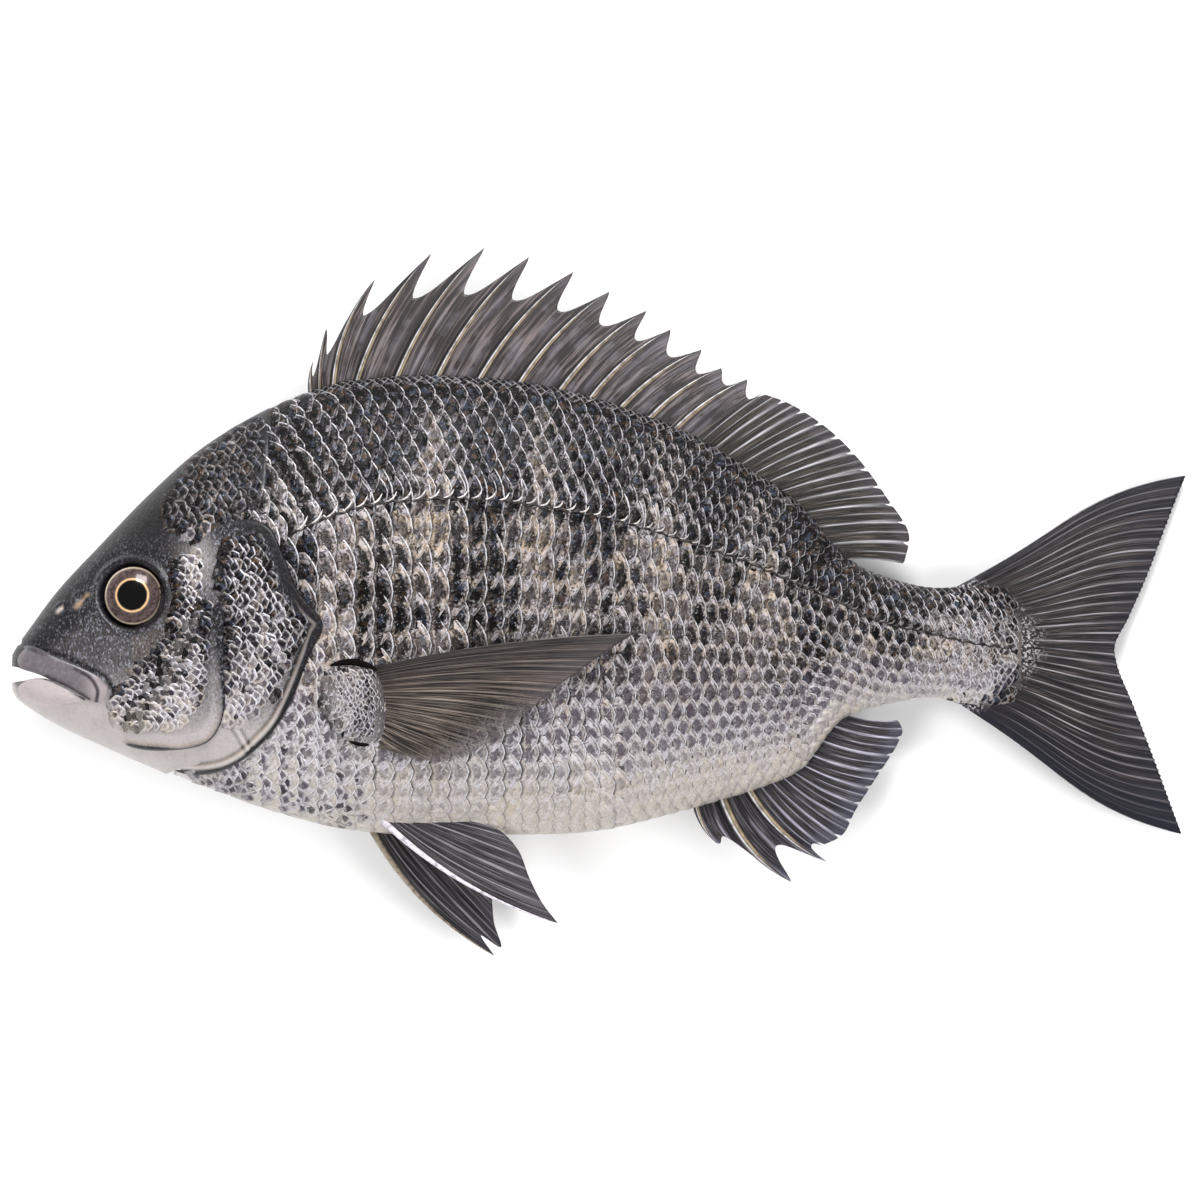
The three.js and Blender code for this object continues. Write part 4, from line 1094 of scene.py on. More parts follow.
# eyes
def eyePaint():
    paint = Paint("wetEye", Specular_IOR_Level=0.1, Coat_Roughness=0.02, Coat_Weight=0.4)
    away = paint.own("eyeAway")
    where = paint.place()
    grain = paint.noise(where, 0.8, 4.0, 0.6)
    streaks = paint.noise(where, 2.6, 3.0)
    iris = paint.blend(paint.step(grain, 0.3, 0.7), colour(54, 44, 46), colour(98, 84, 82))
    iris = paint.blend(paint.hump(away, 5.6, 0.5) * 0.5, iris, colour(60, 50, 54))
    iris = paint.blend(paint.step(streaks, 0.5, 0.75) * 0.35, iris, colour(140, 120, 108))
    ring = paint.hump(away + (grain - 0.5) * 0.25, 4.42, 0.24)
    outer = paint.hump(away, 7.6, 0.2)
    tint = paint.blend(ring, iris, colour(232, 190, 140))
    tint = paint.blend(outer * 0.7, tint, colour(214, 196, 168))
    tint = paint.blend(paint.step(away, 4.1, 3.9), tint, colour(2, 2, 3))
    # painted shade: a black ring at the eyeball's edge, where it meets the socket
    tint = paint.blend(paint.step(away, 7.8, 8.0), tint, colour(14, 12, 12))
    paint.finish(Base_Color=tint, Roughness=0.2, Metallic=paint.step(away, 4.0, 4.3) * 0.25)
    return paint.material


def eyePiece(name, node, side, material, around=64, steps=40):
    cx, cy, step = eye["x"] + eye["aside"], eye["y"], 4.0
    normal = Vector((float(flank(cx - step, cy) - flank(cx + step, cy)) / (2 * step),
                     float(flank(cx, cy - step) - flank(cx, cy + step)) / (2 * step), 1))
    normal = Vector((normal.x * eye["turned"], normal.y * eye["turned"], 1)).normalized()
    normal.z *= side
    turn = Vector((0, 0, 1)).rotation_difference(normal)
    sunk = float(flank(cx, cy)) + eye["proud"] - eye["depth"]
    centre = Vector((cx, cy, float(midZ(cx)) + side * sunk))
    points, away = [], []
    for i in range(1, steps):
        polar = math.pi * i / steps
        for k in range(around):
            angle = 2 * math.pi * k / around
            r = eye["radius"] * math.sin(polar)
            local = Vector((r * math.cos(angle), r * math.sin(angle), eye["depth"] * math.cos(polar)))
            points.append(centre + turn @ local)
            away.append(r if polar < math.pi / 2 else eye["buried"])
    for pole in (1, -1):
        points.append(centre + turn @ Vector((0, 0, eye["depth"] * pole)))
        away.append(0.0 if pole > 0 else eye["buried"])
    faces = []
    for i in range(steps - 2):
        for k in range(around):
            n = (k + 1) % around
            faces.append((i * around + k, (i + 1) * around + k, (i + 1) * around + n, i * around + n))
    top, low = len(points) - 2, len(points) - 1
    for k in range(around):
        n = (k + 1) % around
        faces += [(top, k, n), (low, (steps - 2) * around + n, (steps - 2) * around + k)]
    points = overTable(np.array([tuple(p) for p in points]), tableGap["flap"])
    return meshPiece(name, points, faces, material, {"eyeAway": np.array(away)}, node)


eyeSkin = eyePaint()
eyePiece("eyeBallLeft", "eye_left", 1, eyeSkin)
eyePiece("eyeBallRight", "eye_right", -1, eyeSkin)
print("eyes made")


# fins
class Fin:  # a bowed sheet between a foot line and an edge line, read by share along and share out
    def __init__(self, foot, edge, bow, flare, mid):
        self.foot, self.edge, self.bow, self.flare, self.mid = foot, edge, bow, flare, mid

    def at(self, along, out):
        along, out = np.broadcast_arrays(np.asarray(along, float), np.asarray(out, float))
        foot, edge = self.foot(along), self.edge(along)
        d = edge - foot
        length = np.linalg.norm(d, axis=-1)
        aside = 4 * self.bow(along) * out * (1 - out) - self.flare(along) * np.sin(2 * math.pi * out)
        x = foot[..., 0] + d[..., 0] * out - aside * d[..., 1] / length
        y = foot[..., 1] + d[..., 1] * out + aside * d[..., 0] / length
        return np.stack([x, y, self.mid(x, y, length * out)], -1)


def finSheet(name, fin, half, edgeShare, columns, rows, material, rays):
    along = np.linspace(0, 1, columns)
    out = np.linspace(0, 1, rows)
    a, o = np.meshgrid(along, out, indexing="ij")
    reach = o * edgeShare(a)
    middle = fin.at(a, reach)
    thick = half(a, o)
    points = []
    for sign in (1, -1):
        layer = middle.copy()
        layer[..., 2] += sign * thick
        points.append(layer.reshape(-1, 3))
    points = overTable(np.vstack(points), tableGap["fin"])
    count = columns * rows
    quads = [gridFaces(columns, rows), gridFaces(columns, rows, start=count, flip=True)]
    rim = [c * rows for c in range(columns - 1)] + [(columns - 1) * rows + r for r in range(rows - 1)]
    rim += [c * rows + rows - 1 for c in range(columns - 1, 0, -1)] + list(range(rows - 1, 0, -1))
    rim = np.array(rim)
    after = np.roll(rim, -1)
    quads.append(np.stack([rim, rim + count, after + count, after], -1))
    quads = outward(points, np.vstack(quads))
    at = np.stack([a * rays, reach, o], -1).reshape(-1, 3)
    return meshPiece(name, points, quads, material, {"finAt": np.vstack([at, at])})


def rayTree(name):  # tubes along lines
    tree = newTree(name, (("Int", ("Sides",)),))
    net = Net(tree)
    lines, sides, material = net.add("NodeGroupInput", out=None)[:3]
    curves = net.add("GeometryNodeMeshToCurve", inputs={"Mesh": lines})
    radius = net.add("GeometryNodeInputNamedAttribute", {"data_type": "FLOAT"}, {"Name": "radius0"}, out="Attribute")
    curves = net.add("GeometryNodeSetCurveRadius", inputs={"Curve": curves, "Radius": radius})
    ring = net.add("GeometryNodeCurvePrimitiveCircle", {"mode": "RADIUS"}, {"Resolution": sides, "Radius": 1.0},
                   out="Curve")
    tube = tree.nodes.new("GeometryNodeCurveToMesh")
    for key, value in (("Curve", curves), ("Profile Curve", ring), ("Fill Caps", True)):
        net.feed(tube.inputs[key], value)
    if "Scale" in tube.inputs:
        net.feed(tube.inputs["Scale"], radius)
    made = net.add("GeometryNodeSetShadeSmooth", inputs={"Geometry": Wire(net, tube.outputs[0]), "Shade Smooth": True})
    return endTree(net, made, material)


rayNet = rayTree("finRays")


def tubes(name, lines, material, sides):  # lines: each is (points, radii, tone along)
    points, edges, radius, tone = [], [], [], []
    for way, radii, shade in lines:
        start = len(points)
        way = overTable(np.array(way), np.asarray(radii) + tableGap["ray"])
        points += [tuple(p) for p in way]
        radius += list(radii)
        tone += list(shade)
        edges += [(start + i, start + i + 1) for i in range(len(way) - 1)]
    piece = runTree(name, rayNet, points, {"radius0": np.array(radius) * 0.001, "rayTone": np.array(tone)},
                    {"Sides": sides, "Material": material}, edges)
    mesh = piece.data
    face = np.empty(len(mesh.vertices) * 3)
    mesh.vertices.foreach_get("normal", face)
    mesh.attributes.new("rayFace", "FLOAT_VECTOR", "POINT").data.foreach_set("vector", face)
    print(name, len(lines), "rays,", len(piece.data.polygons), "faces")
    return dress(piece)


def branchedRays(fin, rayPlaces, spread, forks, thick, thin, edgeShare, steps=14, start=0.0):
    lines = []
    for at in rayPlaces:
        ways = [(at, 0.0, spread)]
        for level, fork in enumerate(forks + [1.0]):
            begin = start if level == 0 else forks[level - 1]
            following = []
            for place, drift, room in ways:
                count = max(3, int(steps * (fork - begin)) + 2)
                out = np.linspace(begin, fork, count)
                along = place + drift * (out - begin) / max(1e-6, fork - begin)
                along = np.clip(along, 0, 1)
                reach = out * np.array([float(edgeShare(np.array(a))) for a in along]) * 0.995
                way = fin.at(along, reach)
                radii = mix(thick, thin, out ** 0.8) * (0.86 ** level)
                lines.append((way, radii, np.clip(out, 0, 1)))
                end = float(along[-1])
                following += [(end, -room / 2, room / 2), (end, room / 2, room / 2)]
            ways = following
    return lines


def finSkin(name, deep=(30, 27, 28), light=(112, 104, 98), edge=(52, 50, 56), streak=14.0, root=None, pleats=0.0,
            wedge=None, clear=None, outerTint=None):
    paint = Paint(name, Specular_IOR_Level=0.35, Coat_Roughness=0.25, Coat_Weight=0.15)
    ray, reach, _ = paint.split(paint.own("finAt", "Vector"))
    where = paint.place()
    threads = paint.noise(paint.join(ray * streak, reach * 1.6), 1.0, 3.0, 0.7)
    broad = paint.noise(paint.join(ray * streak * 0.22, reach * 1.1, 4.0), 1.0, 2.0)
    patchy = paint.noise(where, 0.13, 3.0)
    tint = paint.blend(paint.step(threads, 0.47, 0.62), colour(*deep), colour(*light))
    tint = paint.blend(paint.step(broad, 0.42, 0.62) * 0.5, tint, colour(*deep))
    tint = paint.blend(paint.step(patchy, 0.45, 0.75) * 0.3, tint, colour(*deep))
    tint = paint.blend(paint.step(reach, 0.72, 1.0) * 0.5, tint, colour(*edge))
    share = paint.maths("FRACT", ray + (broad - 0.5) * 0.12)
    if pleats:
        # painted highlight: pale lines where the membrane folds between the spines
        foldShading = paint.hump(share + (broad - 0.5) * 0.5, 0.3, 0.1) + paint.hump(share + (threads - 0.5) * 0.5, 0.62, 0.1)
        tint = paint.blend(paint.limit(foldShading * paint.step(patchy, 0.4, 0.6)) * pleats, tint, colour(168, 164, 176))
        # painted shade: a dark strip of membrane beside each spine
        tint = paint.blend(paint.hump(share, 0.94, 0.05) * 0.8, tint, colour(22, 20, 23))
    if wedge:  # a pale fan where one ray meets the next
        begin, slim, broadEnd, amount, shade, fade = wedge
        beside = 0.5 - paint.maths("ABSOLUTE", share - 0.5)
        spread = slim + reach * broadEnd
        fan = paint.hump(beside, 0.0, spread) * paint.step(reach, begin, begin + 0.2)
        fan = fan * (1.0 - paint.step(reach, fade, 1.02) * 0.75)
        second = paint.hump(share + (threads - 0.5) * 0.1, 0.52, 0.02 + reach * 0.02)
        second = second * paint.step(reach, 0.2, 0.5) * 0.7
        fan = (fan + second) * (0.35 + paint.step(threads, 0.4, 0.6) * 0.65)
        tint = paint.blend(paint.limit(fan) * amount, tint, colour(*shade))
    if outerTint:  # rays far from a given one take on another colour
        middle, close, far, amount, shade = outerTint
        edgeward = paint.step(paint.maths("ABSOLUTE", ray - middle), close, far)
        tint = paint.blend(edgeward * amount, tint, colour(*shade))
    if root:
        grain = paint.noise(where, 1.5, 3.0)
        placeX, placeY, _ = paint.split(where)
        aside = placeY + scaled["middle"]
        end = scaled["end"] - scaled["bend"] * aside * aside
        near = 1.0 - paint.step(placeX - end + (broad - 0.5) * 9.0, *root[:2])
        tint = paint.blend(near * root[2] * paint.step(grain, 0.5, 0.6), tint, colour(*root[3]))
    relief = paint.bump(threads, 0.7, 0.0005)
    sockets = {"Base_Color": tint, "Roughness": 0.34 + threads * 0.2, "Normal": relief}
    if clear:
        sockets["Alpha"] = 1.0 - paint.step(ray, *clear[:2]) * paint.step(reach, 0.45, 0.95) * clear[2]
    paint.finish(**sockets)
    return paint.material


def raySkin(name, root, tip, dark):
    paint = Paint(name, Specular_IOR_Level=0.5, Coat_Roughness=0.2, Coat_Weight=0.35)
    tone = paint.own("rayTone")
    where = paint.place()
    grain = paint.noise(where, 0.7, 3.0)
    tint = paint.blend(tone, colour(*root), colour(*tip))
    tint = paint.blend(paint.step(grain, 0.4, 0.7) * 0.7, tint, colour(*dark))
    paint.finish(Base_Color=tint, Roughness=0.35, Normal=paint.bump(grain, 0.2, 0.0002))
    return paint.material


def spineSkin():
    paint = Paint("spineBone", Specular_IOR_Level=0.45, Coat_Roughness=0.12, Coat_Weight=0.5)
    tone = paint.own("rayTone")
    ahead = paint.split(paint.own("rayFace", "Vector"))[0]
    where = paint.place()
    grain = paint.noise(where, 0.45, 3.0)
    rough = paint.step(grain, 0.3, 0.62)
    tan = paint.hump(ahead, 0.42, 0.24) * (1.0 - paint.step(tone, 0.5, 0.9))
    # painted highlight: a thin white line along each spine's ridge, placed by the way its surface faces
    ridgeHighlight = paint.hump(ahead, -0.1, 0.16) * (1.0 - paint.step(tone, 0.75, 1.0))
    tint = paint.blend(tone, colour(20, 18, 20), colour(46, 43, 48))
    tint = paint.blend(tan * (0.45 + rough * 0.45), tint, colour(164, 146, 118))
    tint = paint.blend(ridgeHighlight * (0.3 + rough * 0.5), tint, colour(220, 216, 218))
    paint.finish(Base_Color=tint, Roughness=0.28 + grain * 0.15)
    return paint.material


finDroop = 0.0016  # sag of a fin's free edge, per square millimetre of its reach


def always(value):
    return lambda along: np.full(np.shape(along), value)


def sagging(x, y, reach):
    return midZ(x) - finDroop * reach ** 2


for side, word in bothSides:
    turn = turnAt(lineX, lineY(lineX) - 1.0 + 0.3 * np.sin(lineX * 1.65))
    way = skinPoint(lineX, turn, np.full(len(lineX), float(side)), 0.22)
    tubes("lateralLine" + word, [(way, 0.34 + 0.14 * np.sin(lineX * 1.65), np.zeros(len(lineX)))], linePaint, 6)

# the lateral line's pale hooks
hooks = {"along": (-1.5, -0.5, 0.5, 1.2, 1.6), "up": (0.35, 0.5, 1.0, 1.9, 2.8),
         "radius": (0.08, 0.28, 0.34, 0.26, 0.08), "pitch": 4.1, "from": -81.0, "to": 106}
hookPaint = raySkin("hookSkin", root=(216, 210, 208), tip=(112, 107, 108), dark=(104, 96, 96))

# painted shade: black tubes in the slits over and under the pectoral fin's root, each a line and its radius
shadeSlits = [([(-73.2, -17.2), (-70.5, -16.4), (-67, -16.2), (-63.5, -17.0), (-60.2, -18.4)], 0.95),
         ([(-68.2, -37.6), (-65.6, -38.3), (-62.8, -38.6)], 0.6)]
slitShadePaint = Paint("slitSkin", Roughness=0.85, Specular_IOR_Level=0.08)
slitShadePaint = slitShadePaint.finish(Base_Color=slitShadePaint.blend(
    slitShadePaint.noise(slitShadePaint.place(), 0.8, 2.0), colour(6, 5, 6), colour(30, 24, 24)))
for side, word in bothSides:
    lines, at = [], hooks["from"]
    while at < hooks["to"]:
        swell = float(np.interp(at, [-80, 0, 60, 106], [1.0, 0.85, 0.66, 0.5]))
        hookX = at + swell * np.array(hooks["along"])
        turn = turnAt(hookX, lineY(hookX) - 1.0 + swell * np.array(hooks["up"]))
        way = skinPoint(hookX, turn, np.full(5, float(side)), 0.4)
        lines.append((way, swell * np.array(hooks["radius"]), np.full(5, float(smooth(at, -30, 80)))))
        at += hooks["pitch"] * swell
    tubes("lineHooks" + word, lines, hookPaint, 5)
    lines = []
    for points, radius in shadeSlits:
        places = path(points)(np.linspace(0, 1, 16))
        turn = turnAt(places[:, 0], places[:, 1])
        way = skinPoint(places[:, 0], turn, np.full(16, float(side)), 0.55)
        lines.append((way, radius * np.sin(math.pi * np.linspace(0.04, 0.96, 16)) ** 0.6, np.zeros(16)))
    tubes("finSlitShade" + word, lines, slitShadePaint, 8)

# back fin, its spiny part
spines = {
    "feet": [-78.5, -76.6, -73, -67.3, -56.7, -45.8, -34.6, -23.7, -12.8, -4.4, 3.6, 11.4, 18.5],
    "tips": [(-78.4, 65.4), (-74.8, 74.4), (-61.6, 87.8), (-46.3, 94.9), (-31.8, 96.5), (-19.6, 94), (-7.6, 89.9),
             (2.2, 84.5), (12.3, 79.3), (18.8, 74.1), (27.3, 68.7), (32.7, 63.6), (39.8, 60.6)],
    "thick": 1.15, "membrane": 0.3, "depth": 3.0,
}
softBack = {
    "rays": 11, "feet": (25.5, 64.5), "bow": 0.6,
    "edge": [(44, 56.8), (51.5, 54), (61.9, 47.2), (70.3, 38.9), (78, 28.4), (84, 18.4), (82.6, 10.4)],
}
softEdge = path(softBack["edge"])


def softFoot(along):
    x = mix(softBack["feet"][0], softBack["feet"][1], along)
    return np.stack([x, backY(x) - spines["depth"]], -1)


spineFeet = np.array([(x, float(backY(x)) - spines["depth"]) for x in spines["feet"]]
                     + [tuple(softFoot(np.array(0.0)))])
spineTips = np.array(spines["tips"] + [tuple(softEdge(np.array(0.0)))])
spineBow = np.array([0.8, 0.8] + [mix(3.2, 1.4, i / 12) for i in range(2, 13)] + [softBack["bow"]])
spineAt = np.arange(14) / 13.0


def between(places, values):  # a value or point of each spine, read by share along the fin
    values = np.asarray(values, float)
    if values.ndim == 1:
        return lambda along: np.interp(along, places, values)
    return lambda along: np.stack([np.interp(along, places, values[:, k]) for k in range(2)], -1)


def scooped(share, lowest, depth):  # the edge behind a spine: a drop to its lowest point, then a rise
    down = np.sin(math.pi / 2 * np.clip(share / lowest, 0, 1) ** 1.3)
    up = 1 - np.clip((share - lowest) / (1 - lowest), 0, 1) ** 2.5
    return 1 - depth * np.where(share < lowest, down, up)


def spineRow(name, fin, places, thick, power, sides):
    out = np.linspace(0.0, 1.0, 22)
    lines = [(fin.at(np.full(22, at), out), mix(wide, 0.08, out ** power), out) for at, wide in zip(places, thick)]
    tubes(name, lines, spinePaint, sides)


spinyFin = Fin(between(spineAt, spineFeet), between(spineAt, spineTips), between(spineAt, spineBow), always(0.0),
               sagging)


def scallops(along):
    place = np.clip(along * 13, 0, 12.999999)
    i = np.floor(place)
    share = place - i
    lowest = np.clip(0.32 + 0.05 * (i - 1), 0.3, 0.86)
    return scooped(share, lowest, np.where(i < 2, 0.5, mix(0.4, 0.16, (i - 2) / 10)))


membranePaint = finSkin("spinyMembrane", deep=(46, 41, 42), light=(108, 99, 98), edge=(84, 80, 86), streak=11.0,
                        pleats=0.16)
softPaint = finSkin("softMembrane", deep=(30, 27, 27), light=(84, 75, 69), edge=(64, 62, 68), streak=16.0,
                    wedge=(0.0, 0.03, 0.06, 0.9, (196, 193, 200), 0.7))
analPaint = finSkin("analMembrane", deep=(30, 28, 32), light=(84, 80, 84), edge=(72, 74, 88), streak=14.0,
                    wedge=(-0.1, 0.04, 0.05, 0.9, (190, 188, 204), 0.7))
tailPaint = finSkin("tailMembrane", deep=(20, 18, 21), light=(78, 70, 68), edge=(32, 32, 42), streak=13.0,
                    root=(-2.0, 7.0, 0.8, (190, 186, 190)), wedge=(0.1, 0.035, 0.015, 0.85, (176, 172, 178), 0.35),
                    outerTint=(7.5, 4.5, 9.5, 0.8, (22, 24, 35)))
pelvicPaint = finSkin("pelvicMembrane", deep=(28, 26, 29), light=(96, 91, 94), edge=(60, 58, 66), streak=12.0,
                      wedge=(-0.2, 0.04, 0.03, 0.55, (164, 160, 168), 0.8))
bonePaint = raySkin("rayBone", root=(156, 142, 124), tip=(104, 97, 94), dark=(44, 40, 40))
whiteBone = raySkin("whiteBone", root=(206, 200, 208), tip=(196, 194, 208), dark=(112, 106, 118))
paleRay = raySkin("paleRay", root=(178, 168, 160), tip=(136, 132, 138), dark=(64, 58, 58))
spinePaint = spineSkin()

finSheet("backFinMembrane", spinyFin, lambda a, o: spines["membrane"] * (1 - 0.45 * o), scallops, 13 * 18 + 1, 40,
         membranePaint, 13)
spineThick = [spines["thick"] * (0.7 if i < 2 else 1.0) * (0.9 if i > 9 else 1.0) for i in range(13)]
spineRow("backFinSpines", spinyFin, spineAt[:13], spineThick, 1.4, 10)


# soft part of the back fin
def lobed(count, depth):  # the edge's reach, with a nick between one ray's lobe and the next
    def at(along):
        share = np.clip(along, 0, 0.999999) * count % 1.0
        return 1 - depth * (1 - smooth(share, 0.0, 0.16)) - depth * 0.3 * smooth(share, 0.9, 1.0)
    return at


def softFin(name, foot, edge, count, bow, depth, material, rayMaterial, mid=sagging, columns=15):
    fin = Fin(foot, edge, always(bow), always(0.0), mid)
    nicks = lobed(count, depth)

    def half(a, o):
        ridge = bell((a * count) % 1.0, 0.45, 0.3)
        return 0.24 + 0.3 * ridge * (1 - o) ** 1.2
    finSheet(name + "Membrane", fin, half, nicks, count * columns + 1, 30, material, count)
    places = (np.arange(count) + 0.42) / count
    tubes(name + "Rays", branchedRays(fin, places, 0.62 / count, [0.22, 0.5], 0.42, 0.16, nicks), rayMaterial, 6)
    return fin


softFin("softBackFin", softFoot, softEdge, softBack["rays"], softBack["bow"], 0.07, softPaint, paleRay)

# anal fin: three spines, then soft rays
anal = {
    "feet": [25.6, 32.2, 39], "tips": [(31.6, -65.7), (51.8, -76.2), (61.3, -70.7)], "thick": [1.0, 1.75, 1.35],
    "bow": [-1.4, -3.2, -2.6], "nicks": [(0.45, 0.42), (0.6, 0.36), (0.4, 0.14)],
    "softFeet": (42, 64.6), "rays": 8,
    "edge": [(60.2, -66.4), (65.8, -63.5), (69.5, -56.6), (75.5, -47.2), (80.7, -39), (82.2, -35), (81, -32.2)],
}
analEdge = path(anal["edge"])


def analFoot(along):
    x = mix(anal["softFeet"][0], anal["softFeet"][1], along)
    return np.stack([x, bellyY(x) + spines["depth"]], -1)


analFeet = np.array([(x, float(bellyY(x)) + spines["depth"]) for x in anal["feet"]]
                    + [tuple(analFoot(np.array(0.0)))])
analTips = np.array(anal["tips"] + [tuple(analEdge(np.array(0.0)))])
analAt = np.arange(4) / 3.0


analSpiny = Fin(between(analAt, analFeet), between(analAt, analTips), between(analAt, anal["bow"] + [-1.0]),
                always(0.0), sagging)


def analNicks(along):
    place = np.clip(along * 3, 0, 2.999999)
    i = np.floor(place).astype(int)
    share = place - i
    nicks = np.array(anal["nicks"])[i]
    return scooped(share, nicks[..., 0], nicks[..., 1])


finSheet("analSpinyMembrane", analSpiny, lambda a, o: 0.3 * (1 - 0.4 * o), analNicks, 61, 30, analPaint, 3)
spineRow("analSpines", analSpiny, analAt[:3], anal["thick"], 1.6, 12)
softFin("analFin", analFoot, analEdge, anal["rays"], -1.0, 0.07, analPaint, paleRay)

# tail fin
tail = {
    "rays": 17, "bow": 3.2, "flare": 1.3,
    "foot": [(96, 3.6), (104, 2.6), (111, -4), (113, -12), (111, -20), (104, -26), (96, -26.6)],
    "edge": [(160, 34.6), (155.1, 21.8), (149.6, 7.4), (144.2, -4.6), (140.6, -12), (141.3, -17.5), (145.6, -28),
             (152.4, -45.4), (158.9, -63.5)],
}


def outer(along):  # 1 at the tail's upper edge, -1 at its lower one
    turn = np.cos(along * math.pi)
    return turn * np.abs(turn)


tailFin = Fin(path(tail["foot"]), path(tail["edge"]), lambda a: tail["bow"] * outer(a),
              lambda a: tail["flare"] * outer(a), lambda x, y, reach: midZ(x))


def tailHalf(a, o):
    ridge = bell((a * tail["rays"]) % 1.0, 0.5, 0.32)
    return mix(1.0, 0.2, o ** 0.7) * (0.72 + 0.28 * ridge)


def tailTips(a):
    return 1 - 0.008 * np.abs(np.sin(a * math.pi * tail["rays"] * 4)) * (1 - np.abs(2 * a - 1) ** 6)


finSheet("tailMembrane", tailFin, tailHalf, tailTips, tail["rays"] * 16 + 1, 60, tailPaint, tail["rays"])
places = (np.arange(tail["rays"]) + 0.5) / tail["rays"]
tailRays = branchedRays(tailFin, places, 0.78 / tail["rays"], [0.2, 0.42, 0.68], 0.6, 0.15, tailTips, steps=20,
                        start=0.1)
tubes("tailRays", tailRays, paleRay, 6)


def leafHalf(count, root, tip):  # half thickness of a fin with ridges along its rays
    return lambda a, o: mix(root, tip, o) * (0.7 + 0.3 * bell((a * count) % 1, 0.5, 0.3))


# pelvic fins
pelvic = {
    "feet": {"left": [(-61, -57.6), (-48, -57)], "right": [(-63, -61), (-49, -59)]},
    "edge": {"left": [(-11.7, -87.2), (-16, -81.6), (-19.4, -75), (-22.6, -67.2), (-28.3, -61.6), (-38, -59.6)],
             "right": [(-29.2, -96.5), (-32.8, -91), (-27.3, -94.3), (-29.2, -87.5), (-30, -79), (-32, -70)]},
    "rise": {"left": 0.05, "right": -0.12}, "side": 6.8,
}
for sign, word in bothSides:
    side = word.lower()
    feet = np.array(pelvic["feet"][side], float)
    edge = path(pelvic["edge"][side])
    fin = Fin(lambda a, f=feet: f[0] + (f[1] - f[0]) * np.asarray(a)[..., None], edge,
              lambda a: mix(-3.6, 0.4, np.minimum(1, 2 * a)), always(0.0),
              lambda x, y, reach, s=sign, k=side: midZ(x) + s * pelvic["side"] + pelvic["rise"][k] * reach)
    finSheet("pelvic" + word + "Membrane", fin, leafHalf(6, 0.6, 0.2), always(1.0), 91, 34, pelvicPaint, 6)
    pelvicRays = branchedRays(fin, (np.arange(5) + 1.1) / 6, 0.13, [0.12, 0.3, 0.55], 0.36, 0.13, always(1.0))
    tubes("pelvic" + word + "Rays", pelvicRays, paleRay, 6)
    out = np.linspace(0, 1, 24)
    tubes("pelvic" + word + "Spine", [(fin.at(np.zeros(24), out), mix(1.0, 0.12, out), out * 0.3)],
          whiteBone if side == "left" else bonePaint, 10)

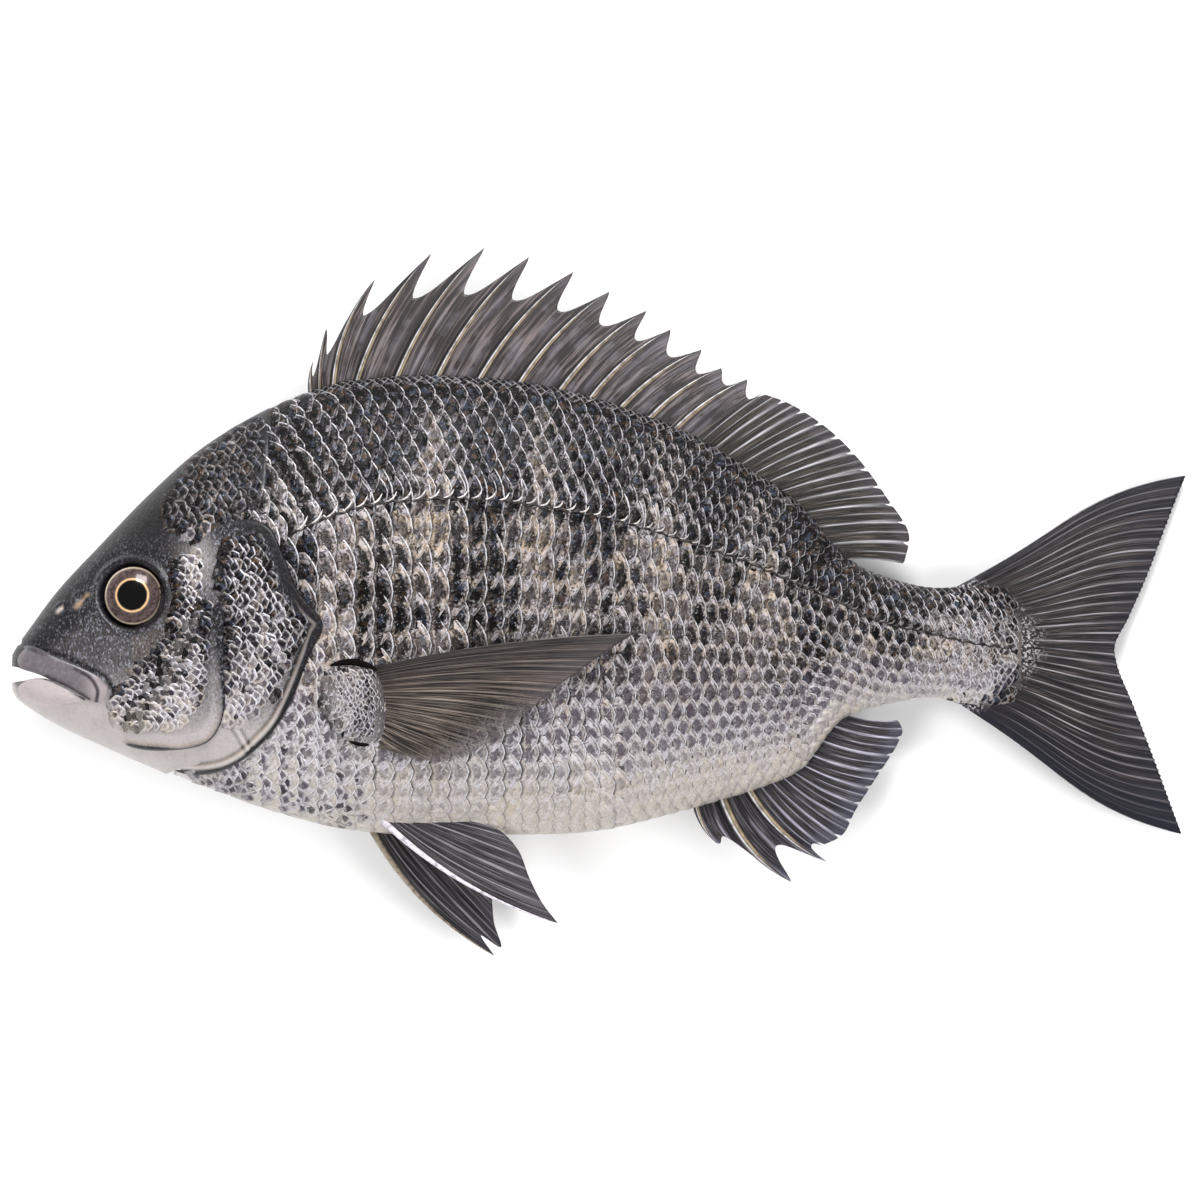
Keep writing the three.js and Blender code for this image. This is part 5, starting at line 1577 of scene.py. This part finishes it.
# pectoral fins
pectoral = {
    "rays": 15, "feet": [(-65.5, -18.6), (-62.5, -24), (-61.5, -31), (-63, -37.6)],
    "edge": [(8.4, -8.7), (-11.2, -22.4), (-27.5, -36.1), (-40, -42.8), (-49.5, -42.6), (-58.5, -39.4)],
    "lift": {"left": 1.8, "right": 0.35}, "off": {"left": 0.03, "right": 0.0}, "root": 9.0,
}
pectoralPaint = finSkin("pectoralMembrane", deep=(11, 8, 8), light=(136, 122, 112), edge=(100, 93, 94), streak=12.0,
                        wedge=(-0.2, 0.05, 0.04, 0.7, (150, 138, 130), 0.8), clear=(2.0, 8.0, 0.85),
                        outerTint=(15.0, 9.3, 15.0, 0.7, (28, 24, 27)))
pectoralEdge = path(pectoral["edge"])
for sign, word in bothSides:
    side = word.lower()

    def lying(x, y, reach, s=sign, k=side):
        lift = mix(-1.2, pectoral["lift"][k], smooth(reach, 0, pectoral["root"])) + pectoral["off"][k] * reach
        return midZ(x) + s * (flank(x, y) + lift)
    fin = Fin(path(pectoral["feet"]), lambda a: pectoralEdge(np.asarray(a) ** 0.9), lambda a: mix(2.2, -1.0, a),
              always(0.0), lying)
    count = pectoral["rays"]
    finSheet("pectoral" + word + "Membrane", fin, leafHalf(count, 0.5, 0.22), always(1.0), count * 12 + 1, 60,
             pectoralPaint, count)
    places = (np.arange(count) + 0.5) / count
    pectoralRays = branchedRays(fin, places, 0.7 / count, [0.2, 0.45, 0.7], 0.3, 0.1, always(1.0), steps=18)
    tubes("pectoral" + word + "Rays", pectoralRays, bonePaint, 6)
print("fins made")


# floor, lights and camera
studio = {
    "world": 0.42,
    "lamps": [  # place, size, power
        ("key", (0.05, 0.95, 0.85), 0.55, 17.0), ("fill", (-0.6, -0.5, 0.9), 0.6, 9.0),
        ("rim", (0.8, -0.3, 0.8), 0.5, 7.0)],
    "floor": (3000, -0.6),  # half its width and its height, in millimetres
    "camera": (0.0, 0.0, 3.65), "lens": 400.0, "sensor": 36.0,
    "pixel": 0.27257, "origin": (601, 602), "middle": (600, 600),  # millimetres a pixel of the photo, two pixels
}


def stage():
    paint = Paint("paleFloor", Roughness=0.9)
    paint.finish(Base_Color=(0.93, 0.93, 0.93, 1))
    far, low = studio["floor"]
    mesh = newMesh("floor", [(-far, -far, low), (far, -far, low), (far, far, low), (-far, far, low)], [(0, 1, 2, 3)])
    mesh.materials.append(paint.material)
    floor = newObject("floor", mesh)


def light():
    world = bpy.data.worlds.new("studio")
    bpy.context.scene.world = world
    world.use_nodes = True
    world.node_tree.nodes["Background"].inputs["Color"].default_value = (1, 1, 1, 1)
    world.node_tree.nodes["Background"].inputs["Strength"].default_value = studio["world"]
    for name, place, size, power in studio["lamps"]:
        lamp = bpy.data.lights.new(name, "AREA")
        lamp.size, lamp.energy = size, power
        holder = newObject(name, lamp)
        holder.location = place
        holder.visible_glossy = name == "key"
        holder.rotation_euler = (Vector((0, 0, 0.02)) - Vector(place)).to_track_quat("-Z", "Y").to_euler()
    camera = newObject("camera", bpy.data.cameras.new("camera"))
    camera.data.lens, camera.data.sensor_width = studio["lens"], studio["sensor"]
    (right, down), (acrossAt, downAt) = studio["origin"], studio["middle"]
    aside = Vector((acrossAt - right, down - downAt, 0)) * studio["pixel"] * 0.001
    camera.location = Vector(studio["camera"]) + aside
    bpy.context.scene.camera = camera
    view = bpy.context.scene.view_settings
    view.view_transform, view.look, view.exposure = "Standard", "None", 0.0


stage()
light()
print("stage set")
